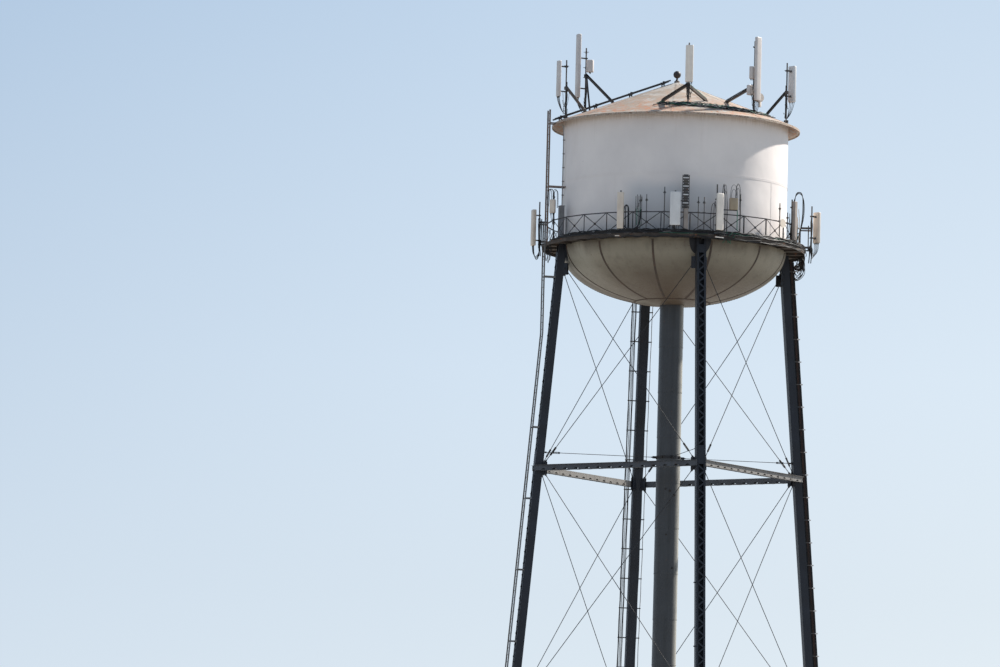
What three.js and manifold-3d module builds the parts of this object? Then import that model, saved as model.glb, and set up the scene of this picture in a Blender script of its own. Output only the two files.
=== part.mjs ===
// Four-legged steel water tower with a riser pipe, an ellipsoidal bowl and a cone roof.
// Millimetres, +Z up, origin on the ground under the riser. The legs stand on the axes:
// front on -Y, right on +X, back on +Y and left on -X.
import * as THREE from 'three';
import { mergeVertices } from 'three/addons/utils/BufferGeometryUtils.js';
import Module from 'manifold-3d';

const wasm = await Module();
wasm.setup();

// Driving dimensions
const seat = 0.4;
const facets = 36;
const riserFacets = 24;

const pierTop = 450;
const riserPierTop = 380;
const lowerStrutLevel = 9500;
const upperStrutLevel = 19900;
const topPinLevel = 28550;
const balconyUnder = 29638;
const balconyTop = 29650;
const springLevel = 29600;
const courseSeam = 32370;
const eaveLevel = 34920;
const apexLevel = 37000;

const tankRadius = 4877;
const tankPlate = 20;
const bowlDepth = 2400;
const eaveRadius = 5380;
const eaveEdge = 14;
const eaveCurb = 90;
const roofPlate = 22;
const balconyRadius = 5690;
const railingRadius = 5500;
const railingHeight = 960;
const bayCount = 28;
const riserRadius = 520;
const riserWall = 16;

const legBatter = 0.083;
const legRadiusAtUpperStrut = 5747;
const legWidth = 400;
const legDepth = 340;
const legPlate = 16;
const legFlange = 90;
const basePlateOverhang = 90;
const basePlateThickness = 30;
const tiePlateRise = 11;

const strutDepth = 235;
const strutWidth = 232;
const strutOut = 171;
const strutWeb = 10;
const strutFlange = 70;
const gussetInnerStart = 150;
const gussetOuterStart = 215;
const gussetReach = 435;
const gussetOffset = 47.6;
const strutStart = 240;
const strutWebStart = -10;
const gussetPlate = 14;
const pinReach = 320;
const pinOffset = 205;
const sleeveRadius = 46;
const rodRadius = 20;

const ladderHalfWidth = 200;
const ladderRail = 26;
const rungRadius = 11;
const rungPitch = 610;
const bracketDepth = 50;
const legLadderStandoff = 260;
const ladderKneeLevel = 25750;
const tankLadderRadius = 5650;
const roofLadderLift = 150;

// Finishes
function finish(colour, roughness, metalness) {
  return new THREE.MeshStandardMaterial({ color: colour, roughness, metalness });
}
const concrete = () => finish(0x9c978c, 0.95, 0);
const legPaint = () => finish(0x2c2e36, 0.55, 0.3);
const bracePaint = () => finish(0x33343a, 0.55, 0.3);
const rodPaint = () => finish(0x2a2b30, 0.5, 0.4);
const riserPaint = () => finish(0x6c6a66, 0.6, 0.2);
const bowlPaint = () => finish(0x6e6455, 0.8, 0.1);
const shellPaint = () => finish(0xd8d4cf, 0.5, 0.05);
const roofPaint = () => finish(0xcdb4a0, 0.75, 0.05);
const balconyPaint = () => finish(0x8a7763, 0.8, 0.1);
const ladderPaint = () => finish(0x8d867c, 0.6, 0.3);
const cableJacket = () => finish(0x1b1c1e, 0.6, 0);
const galvanized = () => finish(0x9aa0a3, 0.5, 0.7);
const antennaPlastic = () => finish(0xc0b8ac, 0.5, 0);

// Joining and cutting of closed shapes
function solid(geometry) {
  const bare = geometry.clone();
  bare.deleteAttribute('normal');
  bare.deleteAttribute('uv');
  const merged = mergeVertices(bare, 1e-3);
  const index = merged.index.array;
  return new wasm.Manifold(new wasm.Mesh({
    numProp: 3,
    vertProperties: new Float32Array(merged.attributes.position.array),
    triVerts: new Uint32Array(index),
  }));
}

function geometryOf(shape) {
  const mesh = shape.getMesh();
  const geometry = new THREE.BufferGeometry();
  geometry.setAttribute('position', new THREE.BufferAttribute(new Float32Array(mesh.vertProperties), 3));
  geometry.setIndex(new THREE.BufferAttribute(new Uint32Array(mesh.triVerts), 1));
  geometry.computeVertexNormals();
  return geometry;
}

function join(geometries) {
  const shapes = geometries.map(solid);
  return geometryOf(shapes.reduce((sum, shape) => sum.add(shape)));
}

function cut(geometry, cutters) {
  return geometryOf(cutters.reduce((rest, cutter) => rest.subtract(solid(cutter)), solid(geometry)));
}

// Basic shapes placed in the tower's frame
function block(width, depth, height, x, y, z) {
  return new THREE.BoxGeometry(width, depth, height).translate(x, y, z);
}

function point(x, y, z) {
  return new THREE.Vector3(x, y, z);
}

// A straight member from one point to another; sides is the number of sides of its section
function member(from, to, radius, sides = 6) {
  const axis = to.clone().sub(from);
  const geometry = new THREE.CylinderGeometry(radius, radius, axis.length(), sides);
  const turn = new THREE.Quaternion().setFromUnitVectors(point(0, 1, 0), axis.clone().normalize());
  const middle = from.clone().add(to).multiplyScalar(0.5);
  return geometry.applyQuaternion(turn).translate(middle.x, middle.y, middle.z);
}

// A flat bar: breadth lies across the bar and square to facing, thickness lies along facing
function flatBar(from, to, breadth, thickness, facing) {
  const along = to.clone().sub(from);
  const length = along.length();
  along.normalize();
  const across = new THREE.Vector3().crossVectors(facing, along).normalize();
  const out = new THREE.Vector3().crossVectors(along, across).normalize();
  const geometry = new THREE.BoxGeometry(breadth, thickness, length);
  geometry.applyMatrix4(new THREE.Matrix4().makeBasis(across, out, along));
  const middle = from.clone().add(to).multiplyScalar(0.5);
  return geometry.translate(middle.x, middle.y, middle.z);
}

// A turned shape about the tower's axis, with flat facets square to the axes X and Y
function turned(profile, facetCount = facets) {
  const outline = profile.map(([radius, level]) => new THREE.Vector2(radius, level));
  const geometry = new THREE.LatheGeometry(outline, facetCount, Math.PI / facetCount);
  return geometry.rotateX(Math.PI / 2);
}

function ring(inner, outer, low, high, facetCount = facets) {
  const outline = [[inner, low], [outer, low], [outer, high], [inner, high], [inner, low]];
  return turned(outline, facetCount);
}

// How far the flat of a facet lies from the axis, on a turned shape of the given radius, to the next
// half millimetre
function facetFace(radius) {
  return Math.ceil(2 * radius * Math.cos(Math.PI / facets)) / 2;
}

// Extrudes an outline upwards between two levels
function upright(outline, low, high) {
  const shape = new THREE.Shape(outline.map(([x, y]) => new THREE.Vector2(x, y)));
  const geometry = new THREE.ExtrudeGeometry(shape, { depth: high - low, bevelEnabled: false });
  return geometry.translate(0, 0, low);
}

const quarter = Math.PI / 2;
const degree = Math.PI / 180;
const sides = [
  { name: 'front', turn: -quarter },
  { name: 'right', turn: 0 },
  { name: 'back', turn: quarter },
  { name: 'left', turn: 2 * quarter },
];

const tower = new THREE.Group();

function add(name, geometry, material, turn = 0) {
  const mesh = new THREE.Mesh(geometry, material);
  mesh.name = name;
  mesh.rotation.z = turn;
  tower.add(mesh);
}

// Legs. Each is drawn as the leg on +X: x runs outwards, y sideways, z up.
function legRadius(level) {
  return legRadiusAtUpperStrut - legBatter * (level - upperStrutLevel);
}

function lean(geometry) {
  return geometry.applyMatrix4(new THREE.Matrix4().set(
    1, 0, -legBatter, legRadius(0),
    0, 1, 0, 0,
    0, 0, 1, 0,
    0, 0, 0, 1,
  ));
}

// Unit vectors of the face that starts at the +X leg: side +1 runs to the +Y leg, -1 to the -Y leg
function faceFrame(side) {
  return {
    along: point(-Math.SQRT1_2, side * Math.SQRT1_2, 0),
    out: point(Math.SQRT1_2, side * Math.SQRT1_2, 0),
  };
}

// Where a tie rod is held: offset above or below the middle of a joint of the leg
function pinPoint(side, joint, offset) {
  const { along } = faceFrame(side);
  return point(legRadius(joint), 0, joint + offset).addScaledVector(along, pinReach);
}

function legSection() {
  const outer = legDepth / 2;
  const half = legWidth / 2;
  const lip = half - legFlange;
  return [
    [-outer, -half], [outer, -half], [outer, -lip], [outer - legPlate, -lip],
    [outer - legPlate, legPlate - half], [legPlate - outer, legPlate - half],
    [legPlate - outer, half - legPlate], [outer - legPlate, half - legPlate],
    [outer - legPlate, lip], [outer, lip], [outer, half], [-outer, half],
  ];
}

const baseJoint = pierTop + 650;
const gussetSpans = [[baseJoint, 250], [lowerStrutLevel, 270], [upperStrutLevel, 270], [topPinLevel, 250]];
const tiePlateSpans = [
  [pierTop + 25, pierTop + 1000],
  [lowerStrutLevel - 300, lowerStrutLevel + 750],
  [upperStrutLevel - 50, upperStrutLevel + 750],
  [balconyUnder - 700, balconyUnder - 340],
];

// A pair of upright gusset plates inside the strut's inner channel, that clasp the sleeves of the rods
function gussets(side) {
  const pieces = [];
  const { along, out } = faceFrame(side);
  const matrix = new THREE.Matrix4().makeBasis(along, out, point(0, 0, -side));
  for (const [joint, half] of gussetSpans) {
    for (const [across, start] of [[-gussetOffset, gussetInnerStart], [gussetOffset, gussetOuterStart]]) {
      const plate = new THREE.BoxGeometry(gussetReach - start, gussetPlate, 2 * half);
      plate.translate((gussetReach + start) / 2, across, 0).applyMatrix4(matrix);
      pieces.push(plate.translate(legRadius(joint), 0, joint));
    }
  }
  return pieces;
}

// The outside of the bowl and shell, drawn a little larger, to cope the leg's head around it
function bowlOutline(grow, steps = 8) {
  const points = [];
  for (let step = 0; step <= steps; step += 1) {
    const angle = (step / steps) * quarter;
    points.push([(tankRadius + grow) * Math.cos(angle), springLevel - (bowlDepth + grow) * Math.sin(angle)]);
  }
  return points;
}

function tankEnvelope() {
  const outline = bowlOutline(seat).reverse();
  outline[0][0] = 0;
  outline.push([tankRadius + seat, balconyTop + 500], [0, balconyTop + 500]);
  return turned(outline);
}

function leg() {
  const pieces = [lean(upright(legSection(), pierTop + basePlateThickness / 2, balconyUnder - seat))];
  const grow = 2 * basePlateOverhang;
  const base = block(legDepth + grow, legWidth + grow, basePlateThickness, 0, 0, 0);
  pieces.push(lean(base.translate(0, 0, pierTop + basePlateThickness / 2 + seat)));
  const sink = 1;
  const plateMiddle = (legDepth + tiePlateRise - sink) / 2;
  for (const [low, high] of tiePlateSpans) {
    pieces.push(lean(block(tiePlateRise + sink, legWidth, high - low, plateMiddle, 0, (low + high) / 2)));
  }
  pieces.push(...gussets(1), ...gussets(-1));
  return cut(join(pieces), [tankEnvelope()]);
}

// A square concrete pier with sloping sides
function pier() {
  const base = 1500 / Math.SQRT2;
  const top = 1150 / Math.SQRT2;
  const inset = 20;
  const slope = new THREE.CylinderGeometry(top, base, pierTop, 4, 1, false, Math.PI / 4);
  return slope.rotateX(quarter).translate(legRadius(0) - inset, 0, pierTop / 2);
}

// Struts: two channels with inward flanges, held apart by batten plates. Drawn from +X leg to +Y leg.
// The inner one lies against the gusset plates, the outer one's web runs on past the legs' corners.
function channelSection() {
  const half = strutDepth / 2;
  const back = strutWidth / 2;
  const toe = back - strutFlange;
  return [
    [back, -half], [back, half], [toe, half], [toe, half - strutWeb], [back - strutWeb, half - strutWeb],
    [back - strutWeb, strutWeb - half], [toe, strutWeb - half], [toe, -half],
  ];
}

function strut(level) {
  const { along, out } = faceFrame(1);
  const span = legRadius(level) * Math.SQRT2;
  const from = strutStart;
  const to = span - from;
  const section = channelSection();
  const mirrored = section.map(([x, y]) => [-x, y]).reverse();
  const pieces = [upright(section, from, to), upright(mirrored, from, to)];
  const battenLength = 320;
  const firstBatten = gussetReach + 10 + battenLength / 2;
  for (const place of [firstBatten, span / 2, span - firstBatten]) {
    for (const end of [-1, 1]) {
      const lift = end * (strutDepth / 2 - strutWeb - 2);
      pieces.push(block(strutWidth - 50, strutWeb, battenLength, 0, lift, place));
    }
  }
  const webMiddle = (strutWeb - strutWidth) / 2;
  pieces.push(block(strutWeb, strutDepth, span - 2 * strutWebStart, webMiddle, 0, span / 2));
  const geometry = join(pieces).translate(-strutOut, 0, 0);
  geometry.applyMatrix4(new THREE.Matrix4().makeBasis(out.negate(), point(0, 0, 1), along));
  return geometry.translate(legRadius(level), 0, level);
}

// Tie rods of one panel of one face: two rods that cross, with a cross sleeve at each end that sits
// between the gusset plates
function rodPair([lowJoint, lowOffset], [highJoint, highOffset]) {
  const { out } = faceFrame(1);
  const swap = (spot) => point(spot.y, spot.x, spot.z);
  const pieces = [];
  for (const mirrored of [false, true]) {
    const low = pinPoint(1, lowJoint, lowOffset);
    const high = pinPoint(1, highJoint, highOffset);
    const start = mirrored ? swap(low) : low;
    const end = mirrored ? high : swap(high);
    pieces.push(member(start, end, rodRadius, 4));
    for (const spot of [start, end]) {
      const half = gussetOffset - gussetPlate / 2 - seat;
      const near = spot.clone().addScaledVector(out, -half);
      pieces.push(member(near, spot.clone().addScaledVector(out, half), sleeveRadius, 4));
    }
  }
  return join(pieces);
}

// The level of the bowl's outside at a radius
function bowlLevel(radius) {
  return springLevel - bowlDepth * Math.sqrt(1 - (radius / tankRadius) ** 2);
}

// Riser pipe with its foot flange
function riser() {
  const low = riserPierTop + seat;
  const flangeTop = low + 40;
  const high = bowlLevel(riserRadius);
  const inner = riserRadius - riserWall;
  const flange = riserRadius + 90;
  return turned([
    [inner, low], [flange, low], [flange, flangeTop], [riserRadius, flangeTop], [riserRadius, high],
    [inner, high], [inner, low],
  ], riserFacets);
}

// Stays that hold the riser in the middle: a collar and one rod to each leg
function riserStays(level) {
  const inner = riserRadius + seat;
  const pieces = [ring(inner, inner + 22, level - 60, level + 60, riserFacets)];
  for (const { turn } of sides) {
    const reach = legRadius(level + 50) - legDepth / 2 - seat;
    const rod = member(point(inner + 10, 0, level), point(reach - 10, 0, level), 12, 4);
    const lug = block(150, 24, 90, inner + 90, 0, level);
    const foot = block(16, 110, 100, reach - 8, 0, level);
    for (const piece of [rod, lug, foot]) {
      pieces.push(piece.rotateZ(turn));
    }
  }
  return join(pieces);
}

// Tank: bowl, two shell courses, roof and its ball
function bowl() {
  const mouth = riserRadius + 1;
  const outside = bowlOutline(0).filter(([radius]) => radius > riserRadius + 60);
  const inside = outside.map(([radius, level]) => {
    return [radius * (1 - tankPlate / tankRadius), level + tankPlate];
  });
  const lip = bowlLevel(riserRadius + 30);
  outside.push([mouth, lip]);
  inside.push([mouth, lip + tankPlate]);
  inside[0] = [tankRadius - tankPlate, springLevel];
  return turned([outside[0], ...inside, ...outside.reverse()]);
}

function shellCourse(low, high) {
  return ring(tankRadius - tankPlate, tankRadius, low, high);
}

function roofLevel(radius) {
  return eaveLevel + ((eaveRadius - radius) * (apexLevel - eaveLevel)) / eaveRadius;
}

function roofUnderside(radius) {
  const reach = eaveRadius - eaveEdge;
  return eaveLevel - roofPlate + ((reach - radius) * (apexLevel - eaveLevel)) / reach;
}

function roof() {
  const neck = 120;
  const curbInside = eaveRadius - eaveEdge;
  return turned([
    [0, apexLevel - roofPlate], [curbInside, eaveLevel - roofPlate], [curbInside, eaveLevel - eaveCurb],
    [eaveRadius, eaveLevel - eaveCurb], [eaveRadius, eaveLevel], [neck, roofLevel(neck)], [neck, apexLevel],
    [0, apexLevel],
  ]);
}

function finial() {
  const ballRadius = 165;
  const stem = 150;
  const flange = 95;
  const foot = apexLevel + seat;
  const profile = [[0, foot], [flange, foot], [flange, foot + 40], [40, foot + 60]];
  const middle = apexLevel + stem + ballRadius;
  const steps = 8;
  for (let step = 1; step < steps; step += 1) {
    const angle = -quarter + (step / steps) * Math.PI;
    profile.push([ballRadius * Math.cos(angle), middle + ballRadius * Math.sin(angle)]);
  }
  profile.push([0, middle + ballRadius]);
  return turned(profile, 16);
}

// Balcony: floor plate with a hanging rim at its outer edge and a curb angle against the shell
function balcony() {
  const inner = tankRadius + seat;
  const rim = balconyRadius - 14;
  return turned([
    [inner, balconyUnder], [rim, balconyUnder], [rim, balconyTop - 140], [balconyRadius, balconyTop - 140],
    [balconyRadius, balconyTop], [inner, balconyTop], [inner, balconyUnder],
  ]);
}

// Railing: one section is a quarter of the round, with seven posts and seven bays
const bayAngle = (2 * Math.PI) / bayCount;
const bayMiddle = railingRadius * Math.cos(bayAngle / 2);

function railingPoint(index, level) {
  const angle = -Math.PI / 4 + index * bayAngle;
  return point(railingRadius * Math.cos(angle), railingRadius * Math.sin(angle), level);
}

function railingSection() {
  const posts = bayCount / 4;
  const postSize = 42;
  const railSize = 38;
  const railLevels = [balconyTop + railingHeight - railSize / 2, balconyTop + 70];
  const pieces = [];
  for (let index = 0; index < posts; index += 1) {
    const outwards = railingPoint(index, 0).normalize();
    const foot = railingPoint(index, balconyTop + seat);
    const head = railingPoint(index, balconyTop + railingHeight);
    pieces.push(flatBar(foot, head, postSize, postSize, outwards));
    const across = railingPoint(index + 1, 0).sub(railingPoint(index, 0)).normalize();
    const facing = railingPoint(index + 0.5, 0).normalize();
    const short = index === posts - 1 ? postSize / 2 + 3 : 0;
    for (const level of railLevels) {
      const end = railingPoint(index + 1, level).addScaledVector(across, -short);
      pieces.push(flatBar(railingPoint(index, level), end, railSize + 2, railSize - 6, facing));
    }
  }
  return join(pieces);
}

// A ladder between points of its centre line, which lies in the plane y = 0
function ladder(route) {
  const pieces = [];
  const shift = point(0, ladderHalfWidth, 0);
  for (let index = 1; index < route.length; index += 1) {
    const from = route[index - 1];
    const to = route[index];
    pieces.push(member(from.clone().add(shift), to.clone().add(shift), ladderRail, 4));
    pieces.push(member(from.clone().sub(shift), to.clone().sub(shift), ladderRail, 4));
    const run = to.clone().sub(from);
    const count = Math.max(1, Math.round(run.length() / rungPitch));
    for (let step = 0; step < count; step += 1) {
      const centre = from.clone().addScaledVector(run, (step + 0.5) / count);
      pieces.push(member(centre.clone().sub(shift), centre.clone().add(shift), rungRadius, 4));
    }
  }
  return pieces;
}

// The legs' outer faces, drawn on +X and turned to the leg that the piece belongs to
function outsideLeg(level, standoff) {
  return point(legRadius(level) + legDepth / 2 + standoff, 0, level);
}

// The inner end of an arm that is bolted to the leg's outer face, which a tie plate thickens in places
function armSeat(level, halfHeight) {
  const tied = tiePlateSpans.some(([low, high]) => level + halfHeight > low && level - halfHeight < high);
  return outsideLeg(level - halfHeight, (tied ? tiePlateRise : 0) + seat).x;
}

// A flat bracket under each rail, from inner to outer
function ladderBrackets(inner, outer, level) {
  const aside = ladderHalfWidth - 10;
  return [-aside, aside].map((across) => {
    return block(outer - inner, 10, bracketDepth, (outer + inner) / 2, across, level);
  });
}

// Follows the leg up to a knee, then rises upright to the balcony's rim
function legLadder() {
  const topRadius = facetFace(balconyRadius) + seat + ladderRail;
  const knee = point(topRadius, 0, ladderKneeLevel);
  const foot = outsideLeg(pierTop + 250, legLadderStandoff);
  const pieces = ladder([foot, knee, point(topRadius, 0, balconyTop - 20)]);
  const bracketPitch = 3080;
  for (let level = ladderKneeLevel - 4080; level > pierTop + 300; level -= bracketPitch) {
    const inner = armSeat(level, bracketDepth / 2);
    pieces.push(...ladderBrackets(inner, outsideLeg(level, legLadderStandoff).x, level));
  }
  return join(pieces);
}

// Stands on the balcony, with one pair of brackets to the shell and one to the eave
function tankLadder() {
  const foot = point(tankLadderRadius, 0, balconyTop + seat);
  const head = point(tankLadderRadius, 0, eaveLevel + 530);
  const pieces = ladder([foot, head]);
  const thickness = 12;
  const width = 2 * ladderHalfWidth + 60;
  const height = bracketDepth + 10;
  for (const [level, radius] of [[courseSeam - 250, tankRadius], [eaveLevel - 40, eaveRadius]]) {
    const inner = facetFace(radius) + seat;
    pieces.push(block(thickness, width, height, inner + thickness / 2, 0, level));
    pieces.push(...ladderBrackets(inner + thickness / 2, tankLadderRadius, level));
  }
  return join(pieces);
}

// Lies along the roof on four pairs of feet
function roofLadder() {
  const [outer, inner] = [eaveRadius + 60, 330];
  const foot = point(outer, 0, roofLevel(outer) + roofLadderLift);
  const head = point(inner, 0, roofLevel(inner) + roofLadderLift);
  const pieces = ladder([foot, head]);
  const sink = 60;
  const height = roofLadderLift + sink;
  for (const radius of [5150, 3600, 2050, 620]) {
    for (const shift of [-ladderHalfWidth, ladderHalfWidth]) {
      pieces.push(block(40, 12, height, radius, shift, roofLevel(radius) - sink + height / 2));
    }
  }
  return cut(join(pieces), [roofEnvelope()]);
}

// The roof's top drawn a little higher, to trim whatever stands on it
function roofEnvelope() {
  const grow = 0.5;
  const wide = eaveRadius + 40;
  return turned([[0, roofLevel(wide) - 600], [wide, roofLevel(wide) - 600], [wide, roofLevel(wide) + grow],
    [0, apexLevel + grow]]);
}

// Cable run down the outside of a leg: bundles side by side, with a clamp bar on standoffs every few
// metres. It stops above the leg's base plate.
function cableRun(bundles, arms, standoff, clampPitch) {
  const pieces = [];
  const low = pierTop + 150;
  const high = balconyUnder - 260;
  for (const [across, width, depth] of bundles) {
    const bundle = block(depth, width, high - low, legDepth / 2 + standoff, across, (low + high) / 2);
    pieces.push(lean(bundle));
  }
  const middle = (bundles[0][0] + bundles[bundles.length - 1][0]) / 2;
  const width = bundles[bundles.length - 1][0] - bundles[0][0] + 150;
  for (let level = low + 900; level < high; level += clampPitch) {
    const centre = outsideLeg(level, standoff).x;
    const inner = armSeat(level, 20);
    pieces.push(block(26, width, 44, centre, middle, level));
    for (const across of arms) {
      pieces.push(block(centre - inner, 12, 40, (centre + inner) / 2, across, level));
    }
  }
  return join(pieces);
}

// Antenna on a mast: the mast stands at x = 0 in its own frame, with +x away from the tower.
// Panels hang on two short brackets, the upper one no higher than the mast allows, and are turned about
// the mast by the angle aside; braces run from the mast to the roof.
const mastRadius = 32;

function panel(width, depth, low, high, gap, aside = 0, upper = high - 0.15 * (high - low)) {
  const centre = mastRadius + gap + depth / 2;
  const pieces = [block(depth, width, high - low, centre, 0, (low + high) / 2)];
  for (const level of [low + 0.15 * (high - low), upper]) {
    pieces.push(block(gap + mastRadius + 10, 60, 50, (gap + mastRadius + 10) / 2, 0, level));
  }
  return pieces.map((piece) => piece.rotateZ(aside * degree));
}

function mast(low, high) {
  return member(point(0, 0, low), point(0, 0, high), mastRadius, 6);
}

// Stands a mast on the roof: radius from the axis, and each brace as [level on the mast, out, sideways]
function roofStation({ angle, radius, top, braces, fittings }) {
  const foot = roofLevel(radius);
  const pieces = [mast(foot - 40, top), block(260, 260, 110, 0, 0, foot - 5), ...fittings];
  for (const [level, out, sideways] of braces) {
    const ground = roofLevel(Math.hypot(radius + out, sideways));
    pieces.push(member(point(0, 0, level), point(out, sideways, ground - 15), 22, 4));
    pieces.push(block(140, 140, 90, out, sideways, ground - 5));
  }
  const moved = join(pieces).translate(radius, 0, 0).rotateZ(angle * degree);
  return cut(moved, [roofEnvelope()]);
}

// Clamps a mast to the outside of the railing; standoff is from the rail's face to the mast's centre
function railStation({ angle, standoff, low, top, fittings }) {
  const railFace = 16;
  const turn = angle * degree;
  const bay = Math.floor((turn + Math.PI / 4) / bayAngle);
  const middle = -Math.PI / 4 + (bay + 0.5) * bayAngle;
  const along = bayMiddle * Math.tan(turn - middle);
  const pieces = [mast(low, top), ...fittings];
  for (const level of [balconyTop + railingHeight - 19, balconyTop + 70]) {
    pieces.push(block(standoff - seat, 70, 50, (seat - standoff) / 2, 0, level));
  }
  const station = join(pieces).translate(bayMiddle + railFace + standoff, along, 0);
  return station.rotateZ(middle);
}

const box = (depth, width, low, high, x, y) => block(depth, width, high - low, x, y, (low + high) / 2);

const roofStations = {
  antenna_roof_left: {
    angle: -173.5, radius: 5090, top: 37580, braces: [[36370, -820, 230]],
    fittings: panel(270, 120, 35970, 37520, 280, 10),
  },
  antenna_roof_back_left: {
    angle: 156.5, radius: 4040, top: 38510, braces: [[37290, -1370, 500], [37290, -400, 900]],
    fittings: [...panel(300, 160, 36300, 39090, 260, 35, 38050), box(310, 300, 37450, 37980, -180, 0)],
  },
  antenna_roof_front: {
    angle: -96.7, radius: 4100, top: 38090, braces: [[36300, -610, -1050], [36250, -990, 900]],
    fittings: [...panel(330, 140, 36370, 37960, 90), box(50, 640, 35740, 35790, 0, 0)],
  },
  antenna_roof_right: {
    angle: -56.5, radius: 4530, top: 38380, braces: [[36420, -1450, -170]],
    fittings: [...panel(330, 140, 35780, 38530, 90), box(160, 240, 36720, 37255, 0, -150),
      box(200, 300, 36020, 36450, -60, -170)],
  },
  antenna_roof_far_right: {
    angle: -31, radius: 4970, top: 37705, braces: [[36420, -770, -420]],
    fittings: panel(400, 150, 36030, 37600, 210, 60),
  },
};

const railStations = {
  antenna_rail_left: {
    angle: 169, standoff: 340, low: 29560, top: 31580, fittings: panel(320, 175, 29660, 31220, 140, 17),
  },
  antenna_rail_front_left: {
    angle: -127.8, standoff: 60, low: balconyTop + seat, top: 31520,
    fittings: [...panel(290, 130, 29865, 31425, 40, 22), box(40, 1000, 30560, 30610, 0, 500),
      box(120, 340, 29930, 31330, 0, 860)],
  },
  antenna_rail_front: {
    angle: -103.1, standoff: 60, low: balconyTop + seat, top: 31500,
    fittings: [...panel(455, 140, 30000, 31430, 60), box(40, 480, 31040, 31090, 0, 240),
      box(260, 330, 30730, 32190, 0, 436)],
  },
  antenna_rail_front_right: {
    angle: -84.4, standoff: 60, low: balconyTop + seat, top: 31840,
    fittings: [...panel(330, 140, 29860, 31430, 136, 20), box(40, 900, 30740, 30790, 0, 450),
      box(200, 380, 30740, 31300, 0, 725)],
  },
  antenna_rail_right: {
    angle: -37.6, standoff: 60, low: balconyTop + seat, top: 31660,
    fittings: panel(280, 140, 29890, 31570, 40),
  },
  antenna_rail_far_right: {
    angle: -15.5, standoff: 480, low: 29600, top: 31660, fittings: panel(370, 150, 30080, 31420, 195, 40),
  },
};

for (const { name, turn } of sides) {
  add(`pier_${name}`, pier(), concrete(), turn);
}
add('riser_pier', turned([[0, 0], [1000, 0], [900, riserPierTop], [0, riserPierTop]], 8), concrete());
for (const { name, turn } of sides) {
  add(`leg_${name}`, leg(), legPaint(), turn);
}
const faces = ['right_back', 'back_left', 'left_front', 'front_right'];
faces.forEach((name, index) => {
  add(`strut_lower_${name}`, strut(lowerStrutLevel), bracePaint(), index * quarter);
  add(`strut_upper_${name}`, strut(upperStrutLevel), bracePaint(), index * quarter);
  const stations = [[baseJoint, 0], [lowerStrutLevel, -pinOffset], [lowerStrutLevel, pinOffset],
    [upperStrutLevel, -pinOffset], [upperStrutLevel, pinOffset], [topPinLevel, 0]];
  ['bottom', 'middle', 'top'].forEach((panelName, panelIndex) => {
    const ends = stations.slice(2 * panelIndex, 2 * panelIndex + 2);
    add(`rods_${panelName}_${name}`, rodPair(...ends), rodPaint(), index * quarter);
  });
});
add('riser_pipe', riser(), riserPaint());
add('riser_stays_lower', riserStays(lowerStrutLevel + 700), rodPaint());
add('riser_stays_upper', riserStays(upperStrutLevel + 700), rodPaint());
add('tank_bowl', bowl(), bowlPaint());
add('shell_lower_course', shellCourse(springLevel + seat, courseSeam), shellPaint());
add('shell_upper_course', shellCourse(courseSeam + seat, roofUnderside(tankRadius) - seat), shellPaint());
add('roof', roof(), roofPaint());
add('roof_ball', finial(), roofPaint());
add('balcony', balcony(), balconyPaint());
for (const { name, turn } of sides) {
  add(`railing_${name}`, railingSection(), balconyPaint(), turn);
}
add('leg_ladder', legLadder(), ladderPaint(), 2 * quarter);
add('tank_ladder', tankLadder(), ladderPaint(), 2 * quarter);
add('roof_ladder', roofLadder(), ladderPaint(), 2 * quarter);
add('cable_run_right', cableRun([[-75, 110, 170], [75, 110, 170]], [-140, 140], 115, 2000), cableJacket());
const backBundles = [[-430, 40, 40], [-300, 40, 40], [370, 60, 60], [520, 70, 70]];
add('cable_run_back', cableRun(backBundles, [-140, 140], 105, 2600), cableJacket(), quarter);

for (const [name, station] of Object.entries(roofStations)) {
  add(name, roofStation(station), antennaPlastic());
}
for (const [name, station] of Object.entries(railStations)) {
  add(name, railStation(station), antennaPlastic());
}
const cabinet = box(200, 320, balconyTop + seat, 31250, 5170, 0);
add('equipment_cabinet', cabinet, galvanized(), -173.2 * degree);

export default tower;
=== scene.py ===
"""A four-legged riveted water tower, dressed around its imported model.

Metres, +Z up, origin on the ground under the riser. The legs stand on the axes: front on -Y,
right on +X, back on +Y and left on -X. Angles run from +X towards +Y.
"""

import bpy
import numpy as np
from mathutils import Matrix


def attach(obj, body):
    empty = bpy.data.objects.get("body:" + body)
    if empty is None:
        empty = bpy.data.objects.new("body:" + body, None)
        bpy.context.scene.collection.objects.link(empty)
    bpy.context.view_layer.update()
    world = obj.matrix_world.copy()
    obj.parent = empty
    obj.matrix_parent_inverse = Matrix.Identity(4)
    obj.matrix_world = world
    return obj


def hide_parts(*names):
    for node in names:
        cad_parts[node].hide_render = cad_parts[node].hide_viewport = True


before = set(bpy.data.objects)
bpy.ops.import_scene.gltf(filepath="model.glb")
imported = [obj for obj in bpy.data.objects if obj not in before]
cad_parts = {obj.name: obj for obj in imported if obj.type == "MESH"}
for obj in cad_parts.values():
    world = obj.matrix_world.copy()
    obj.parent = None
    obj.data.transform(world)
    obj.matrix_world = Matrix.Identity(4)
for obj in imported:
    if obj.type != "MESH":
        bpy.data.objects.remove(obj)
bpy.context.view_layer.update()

# Camera. It stands far off, to the left of the front leg and a little below the tower's foot, with a
# long lens, and is turned so that the tower stands right of the middle of the picture.
camera_side, camera_turn, camera_tilt, camera_roll = np.radians([13.556, 1.546, 6.336, 1.484])
camera_distance = 274.389
camera_height = -4.645
lens = 229.77

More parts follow.
